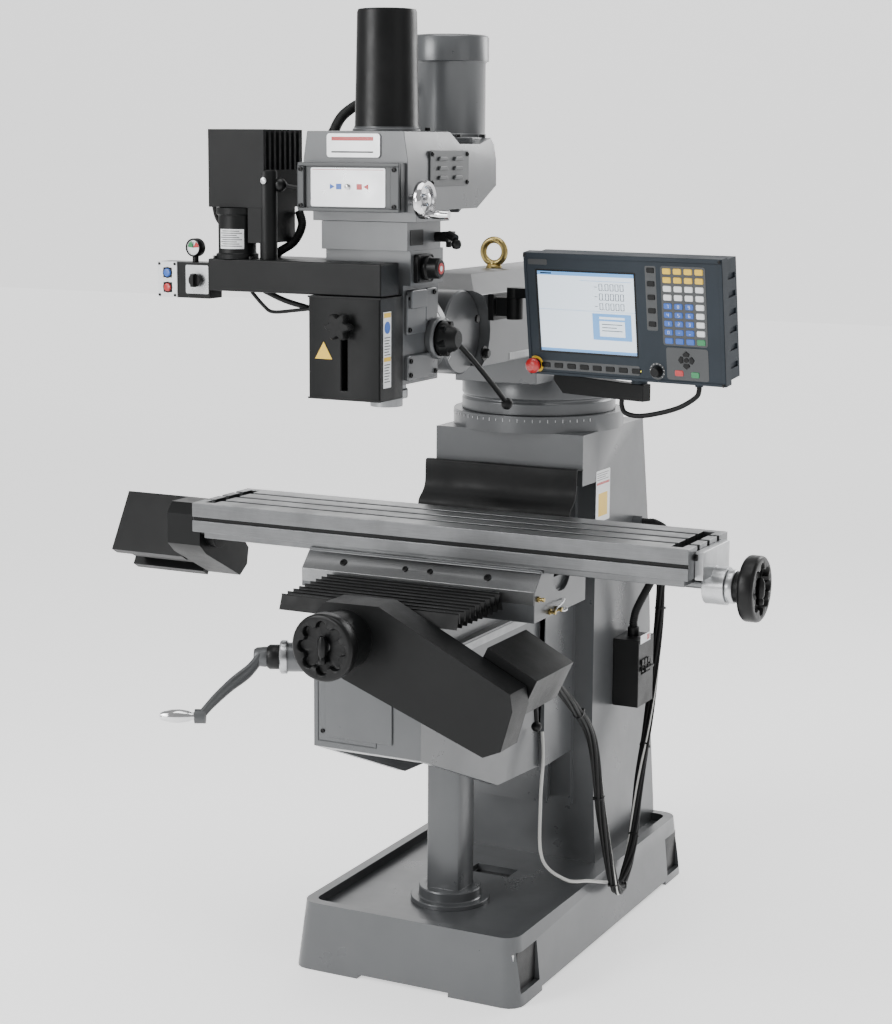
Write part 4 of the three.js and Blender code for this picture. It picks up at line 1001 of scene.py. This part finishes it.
con("console_rim", "console_plastic", bezel, 0.0008)
con("screen_frame", "black_plastic", lambda bm: [face_box(bm, *box, -2.9, 0.8)
    for box in ((-123, 123, 88.5, 92), (-123, 123, -92, -88.5), (-123, -119.5, -88.5, 88.5),
    (119.5, 123, -88.5, 88.5))])
con("screen_glass", "screen", lambda bm: face_box(bm, -119.3, 119.3, -88.3, 88.3, -2.9, -2.2))
con("screen_bands", "screen_blue", lambda bm: (face_box(bm, -119, 119, 80, 88, -2.2, -2.0),
    face_box(bm, 13, 108, -58, 0, -2.2, -2.0), face_box(bm, -119, 119, -88, -82, -2.2, -2.0), face_box(bm,
    -14, 112, 70, 70.8, -2.2, -1.9), face_box(bm, -119, 119, 4, 4.6, -2.2, -1.9)))
con("screen_popup", "screen", lambda bm: (face_box(bm, 30, 92, -50, -16, -2.0, -1.8),
    face_box(bm, 30, 92, -12, -7, -2.0, -1.8)))
con("screen_digits", "screen_ink", lambda bm: (digits(bm, "-0.0000", 20, 50, 9.0, 15, 12.2, -2.15), digits(bm,
    "-0.0000", 20, 29, 9.0, 15, 12.2, -2.15), digits(bm, "-0.0000", 20, 8, 9.0, 15, 12.2, -2.15),
    [face_box(bm, 36, 86 - (i % 2) * 14, -24 - i * 7, -22.4 - i * 7, -1.8, -1.6) for i in range(3)],
    [face_box(bm, -112, -84, 82.6, 85.4, -2.0, -1.8)]))


def key_row(bm, spots, w, h, out=2.4):
    for r, u in spots:
        face_prism(bm, [(r - w / 2 + x, u - h / 2 + y) for x, y in rounded(0, w, 0, h, min(w, h) * 0.22, 3)],
            0.1, out, 0.12)


SOFT_KEYS = [(-109 + i * 225 / 7, -120.5 - i / 7) for i in range(8)]
SIDE_KEYS = [(160, 99.5 - i * 115.5 / 4) for i in range(5)]
PAD_R = [198.5 + i * 75.5 / 3 for i in range(4)]
PAD_U = [99 - i * 149 / 8 for i in range(9)]
con("soft_keys", "black_plastic", lambda bm: (key_row(bm, SOFT_KEYS, 23, 12), key_row(bm, SIDE_KEYS, 19, 12)),
    0.0004)
con("keypad_field", "paint_dark", lambda bm: (face_prism(bm, rounded(184, 289, -60, 110, 6), 0.1, 0.7),
    face_prism(bm, rounded(190, 289, -134, -64, 6), 0.1, 0.7), face_prism(bm,
    rounded(-122, 124, -131, -110, 4), 0.05, 0.45), face_prism(bm, rounded(147, 173, -30, 109, 4), 0.05,
    0.45)), 0.0002)
con("keys_yellow", "yellow_plastic", lambda bm: key_row(bm, [(r, u) for u in PAD_U[:2] for r in PAD_R], 20,
    13), 0.0004)
con("keys_light", "white_label", lambda bm: key_row(bm, [(r, u) for u in PAD_U[2:4] for r in PAD_R]
    + [(PAD_R[3], u) for u in PAD_U[4:8]], 20, 13), 0.0004)
con("keys_blue", "blue_plastic", lambda bm: key_row(bm, [(r, u) for u in PAD_U[4:] for r in PAD_R[:3]], 20,
    13), 0.0004)
con("keys_green", "green_plastic", lambda bm: key_row(bm, [(PAD_R[3], PAD_U[8]), (257, -121)], 20, 13),
    0.0004)
con("keys_red", "red_plastic", lambda bm: key_row(bm, [(219, -119)], 21, 13), 0.0004)


def arrow_keys(bm):
    for turn in range(4):
        a = math.radians(90 * turn)
        shape = [(-8, 9), (8, 9), (11, 17), (0, 25), (-11, 17)]
        face_prism(bm, [(237 + x * math.cos(a) - y * math.sin(a), -90 + x * math.sin(a) + y * math.cos(a))
            for x, y in [(0.8 * x, 0.8 * y) for x, y in shape]], 0.1, 2.4, 0.1)
    face_prism(bm, [(237 + 6 * math.cos(k), -90 + 6 * math.sin(k)) for k in circle(20)], 0.1, 2.4, 0.1)


con("arrow_keys", "black_plastic", arrow_keys, 0.0003)


def key_numbers(bm):
    for row, symbols in enumerate(("789", "456", "123", "0-.")):
        for column, symbol in enumerate(symbols):
            if symbol == ".":
                face_box(bm, PAD_R[column] - 0.8, PAD_R[column] + 0.8, PAD_U[4 + row] - 3, PAD_U[4 + row]
                    - 1.4, 2.3, 2.6)
            else:
                digits(bm, symbol, PAD_R[column] - 2.2, PAD_U[4 + row] - 3.4, 4.4, 6.8, 6, 2.35)


con("key_numbers", "white_label", key_numbers)
con("power_light", "led", lambda bm: face_prism(bm, [(125.4 + 2.6 * math.cos(k), -121 + 2.6 * math.sin(k))
    for k in circle(20)], 0.1, 1.6, 0.3))
con("maker_plate", "paint_dark", lambda bm: face_prism(bm, rounded(-140, -92, 102, 114, 3), 0.1, 0.8), 0.0002)


def ring_on_face(bm, r, u, inner, outer, out0, out1, segs=48):
    add_lathe(bm, [(inner / 1000, out0 / 1000), (outer / 1000, out0 / 1000), (outer / 1000, out1 / 1000),
        (inner / 1000, out1 / 1000), (inner / 1000, out0 / 1000)], face_point(r, u, 0), -FACE_IN, segs)


con("estop_collar", "yellow_plastic", lambda bm: ring_on_face(bm, *ESTOP_ON_FACE, 13.4, 19, 0.2, 1.6), 0.0003)
made("estop_mushroom", "red_plastic", "estop", lambda bm: add_lathe(bm, [(0, 0.0005), (0.0068, 0.0005),
    (0.0068, 0.0098), (0.0145, 0.0102), (0.0168, 0.0122), (0.0170, 0.0165), (0.0160, 0.0200),
    (0.0125, 0.0228), (0.006, 0.0240), (0, 0.0242)], face_point(*ESTOP_ON_FACE, 0), -FACE_IN, 48), 0.0, 40,
    ["estop_button"])
con("override_dial", "paint_dark", lambda bm: ring_on_face(bm, *OVERRIDE_ON_FACE, 14, 18.5, 0.2, 0.8), 0.0002)
con("override_ticks", "white_label", lambda bm: [face_prism(bm, [(OVERRIDE_ON_FACE[0] + rr * math.cos(a) + dx
    * math.sin(a), OVERRIDE_ON_FACE[1] + rr * math.sin(a) - dx * math.cos(a)) for rr, dx in ((15.2, -0.4),
    (17.6, -0.4), (17.6, 0.4), (15.2, 0.4))], 0.7, 1.0) for a in [math.radians(-45 + 27 * i)
    for i in range(11)]])
con("console_screws", "black_plastic", lambda bm: [add_lathe(bm, [(0, 0.0002), (0.0035, 0.0002),
    (0.0035, 0.0022), (0.002, 0.003), (0, 0.003)], face_point(r, u, 2), -FACE_IN, 20) for r in (-146, 323)
    for u in (-139.5, 123)])


# ---- table, saddle, knee and base details
# Thin black sheets on the floors of the table's end gutters: painted shade in the gutters.
made("gutter_floor_shade", "black_plastic", "table_body", lambda bm: [box_mm(bm, a, b, 24, 230, 1060.2, 1060.8)
    for a, b in ((-595, -569), (603, 629))])
# Dark plates on the floors of the table's three T-slots: painted shade in the slots.
made("slot_floor_shade", "paint_dark", "table_body", lambda bm: [box_mm(bm, -617, 651, 127 + off - 13.6, 127 + off
    + 13.6, 1061.3, 1061.9) for off in (-63.5, 0, 63.5)])
# Thin black sheet at the back of the groove in the table's front: painted shade in the groove.
made("front_groove_shade", "black_plastic", "table_body", boxed(-617, 651, 4.6, 5.2, 1047.4, 1055.6))
made("saddle_strip", "steel_y", "saddle_slide_body", pushed([(-21.6, 934), (-20.6, 934), (-20.6, 963),
    (14.6, 1000.6), (13.6, 1001.2), (-21.6, 964.4)], "X", -299, 299), 0.0004)
STRIP_DIR = Vector((0, -0.72, 0.69))
made("saddle_strip_bolts", "black_plastic", "saddle_slide_body", lambda bm: [hex_bolt(bm, (x, -4, 983),
    STRIP_DIR, r, 2.4) for x, r in ((-196, 9), (-34, 7), (30, 7), (176, 9))])


def lube_fittings(bm):
    for y, z in ((-4, 946), (60, 905), (96, 905)):
        lathe_mm(bm, [(0, 0), (7, 0), (7, 5), (0, 5)], (300.2, y, z), RIGHT, 6)
        lathe_mm(bm, [(0, 5), (4, 5), (4, 11), (5, 12), (5, 17), (0, 17)], (300.2, y, z), RIGHT, 20)


made("lube_fittings", "brass", "saddle_slide_body", lube_fittings, 0.0004)
made("lube_lines", "aluminium", "saddle_slide_body", lambda bm: (add_tube(bm, [P(314, 60, 905),
    P(316, 70, 914), P(312, 110, 918), P(304, 140, 920)], 0.002, 8, 6), add_tube(bm, [P(314, 96, 905),
    P(317, 104, 900), P(314, 130, 898), P(304, 150, 898)], 0.002, 8, 6)), 0.0, 60)


def end_bracket_bolts(bm):
    for y, z in ((40, 1066), (92, 1066), (160, 1066), (212, 1066), (92, 1030), (160, 1030)):
        hex_bolt(bm, (652.2, y, z), RIGHT, 7, 7)


made("table_end_bolts", "black_plastic", "table_body", end_bracket_bolts)
made("knee_front_screws", "black_plastic", "knee", lambda bm: [hex_bolt(bm, (x, -250.4, z), FRONT, 5, 3.0)
    for x, z in ((-112, 650), (-112, 800), (14, 650), (14, 800))])


def front_lines(bm):
    for x in (-124, 24):
        box_mm(bm, x - 0.8, x + 0.8, -251.4, -250.2, 628, 826)
    box_mm(bm, -124, 24, -251.4, -250.2, 626, 628)


made("knee_front_seams", "paint_dark", "knee", front_lines)


def knee_scale(bm):
    box_mm(bm, 135.2, 136.2, -236, 350, 812, 830)


made("knee_scale_strip", "steel_y", "knee", knee_scale)


made("breaker_label", "white_label", "base", boxed(272.2, 272.8, 708, 776, 690, 712))
made("breaker_label_mark", "red_plastic", "base", boxed(272.7, 273.0, 752, 770, 694, 708))
made("column_label", "white_label", "base", pushed(rounded(566, 656, 1020, 1150, 4), "X", 200.3, 200.9),
    0.0001)
made("column_label_line", "red_plastic", "base", boxed(200.8, 201.1, 570, 652, 1114, 1120))
made("column_label_panel", "yellow_plastic", "base", boxed(200.8, 201.1, 582, 640, 1034, 1092))
made("column_label_rows", "paint_dark", "base", lambda bm: [box_mm(bm, 200.8, 201.0, 572, 646 - (i % 3) * 9,
    1142 - i * 5.4, 1143.4 - i * 5.4) for i in range(4)])


def amp_connectors(bm):
    for x, y, z in ((330, -50, 776), (306, -52, 758), (348, -52, 748)):
        place = (x, -60, z)
        lathe_mm(bm, [(0, 0.3), (13, 0.3), (13, 6), (11, 8), (11, 22), (9, 26), (0, 26)], place, BACK, 28)


made("amp_connectors", "black_plastic", "knee", amp_connectors, 0.0, 40)


# Thin black sheets at the back of the two pockets in the base's right side: painted shade in the pockets.
made("base_pocket_shade", "black_plastic", "base", lambda bm: [box_mm(bm, 281.3, 282.0, a, b, c, d) for a, b,
    c, d in ((-50, 50, 30, 125), (885, 975, 20, 120))])


def breaker_levers(bm):
    for y in (722, 742, 762):
        for z in (640, 622):
            box_mm(bm, 272.2, 276, y - 7, y + 7, z - 7, z + 7)


made("breaker_buttons", "black_plastic", "base", breaker_levers, 0.001)


def bellows_comb(bm):
    """Stiffening plates between the pleats, with their ends showing at both sides."""
    for fold in range(PLEATS):
        y, z = fold_at(fold * 2 + 1)
        box_mm(bm, -222.5, 222.5, y - 1.2, y + 1.2, z - 22, z + 0.8)


comb = made("bellows_plates", "black_plastic", None, bellows_comb, 0.0, 30)
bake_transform(comb)


# Thin black sheet on the floor of the sump behind the pedestal: painted shade in the sump.
made("sump_painted_shade", "black_plastic", "base", boxed(-49, 62, 372, 430, 123, 124))


# ---- camera, light and floor
# The camera fitted to the photograph: lengths in pixels and mm, angles in degrees, place in machine mm.
FOCAL_PX, IMAGE_PX, SENSOR_MM = 2127.11, 1024, 36
CAMERA_TURN, CAMERA_PITCH, CAMERA_ROLL = 26.5403, 9.8156, 0.3697
CAMERA_AT = (2193.65, -4255.97, 1947.32)
WORLD_STRENGTH, FLOOR_GLOW = 0.45, 0.9


def studio():
    cam_data = bpy.data.cameras.new("camera")
    cam_data.lens = FOCAL_PX * SENSOR_MM / IMAGE_PX
    cam_data.sensor_width = SENSOR_MM
    cam_data.clip_end = 60
    cam = bpy.data.objects.new("camera", cam_data)
    bpy.context.scene.collection.objects.link(cam)
    a, p, roll = (math.radians(angle) for angle in (CAMERA_TURN, CAMERA_PITCH, CAMERA_ROLL))
    back = Vector((math.sin(a) * math.cos(p), -math.cos(a) * math.cos(p), math.sin(p)))
    right = Vector((math.cos(a), math.sin(a), 0))
    up = back.cross(right)
    r2 = right * math.cos(roll) + up * math.sin(roll)
    u2 = up * math.cos(roll) - right * math.sin(roll)
    rot = Matrix((r2, u2, back)).transposed().to_4x4()
    cam.matrix_world = Matrix.Translation(P(*CAMERA_AT)) @ rot
    bpy.context.scene.camera = cam
    world = bpy.data.worlds.new("studio")
    bpy.context.scene.world = world
    world.use_nodes = True
    world.node_tree.nodes["Background"].inputs["Color"].default_value = (1.0, 1.0, 1.0, 1)
    world.node_tree.nodes["Background"].inputs["Strength"].default_value = WORLD_STRENGTH

    def area(name, at, target, size, power, size_y=None):
        data = bpy.data.lights.new(name, "AREA")
        data.shape = "RECTANGLE"
        data.size, data.size_y = size, size_y or size
        data.energy = power
        lamp = bpy.data.objects.new(name, data)
        lamp.location = at
        lamp.rotation_euler = (Vector(target) - Vector(at)).to_track_quat("-Z", "Y").to_euler()
        bpy.context.scene.collection.objects.link(lamp)

    area("key", (-2.4, -3.6, 3.4), (0, 0, 1.0), 1.8, 130)
    area("fill", (3.8, -1.6, 2.6), (0.1, 0, 1.1), 2.0, 12, 3.0)
    area("top", (0.2, -0.6, 4.4), (0.1, 0, 1.0), 2.4, 70)
    area("low", (-1.4, -4.4, 1.7), (0, 0, 0.25), 1.2, 45)
    area("rim", (1.6, 3.6, 3.0), (0.1, 0, 1.3), 1.6, 50)
    mat = surface("floor_white", (0.93, 0.93, 0.93), 0.6, 0.0, 0.01, (60, 0.02, 0.001), (3, 0.03))
    floor_shader = mat.node_tree.nodes["Principled BSDF"]
    floor_shader.inputs["Emission Color"].default_value = (1, 1, 1, 1)
    floor_shader.inputs["Emission Strength"].default_value = FLOOR_GLOW
    bm = bmesh.new()
    rows = [(-14, 0), (9, 0), (11.5, 0.6), (WHEEL_BORE, 2.0), (13, 4.5), (13, 12)]
    lines = [[bm.verts.new((x, y, z)) for x in (-16, 16)] for y, z in rows]
    for a0, b0 in zip(lines, lines[1:]):
        bm.faces.new([a0[0], a0[1], b0[1], b0[0]])
    floor = finish_mesh(bm, "floor", mat, None, None)
    floor.location.z = -0.0005


studio()
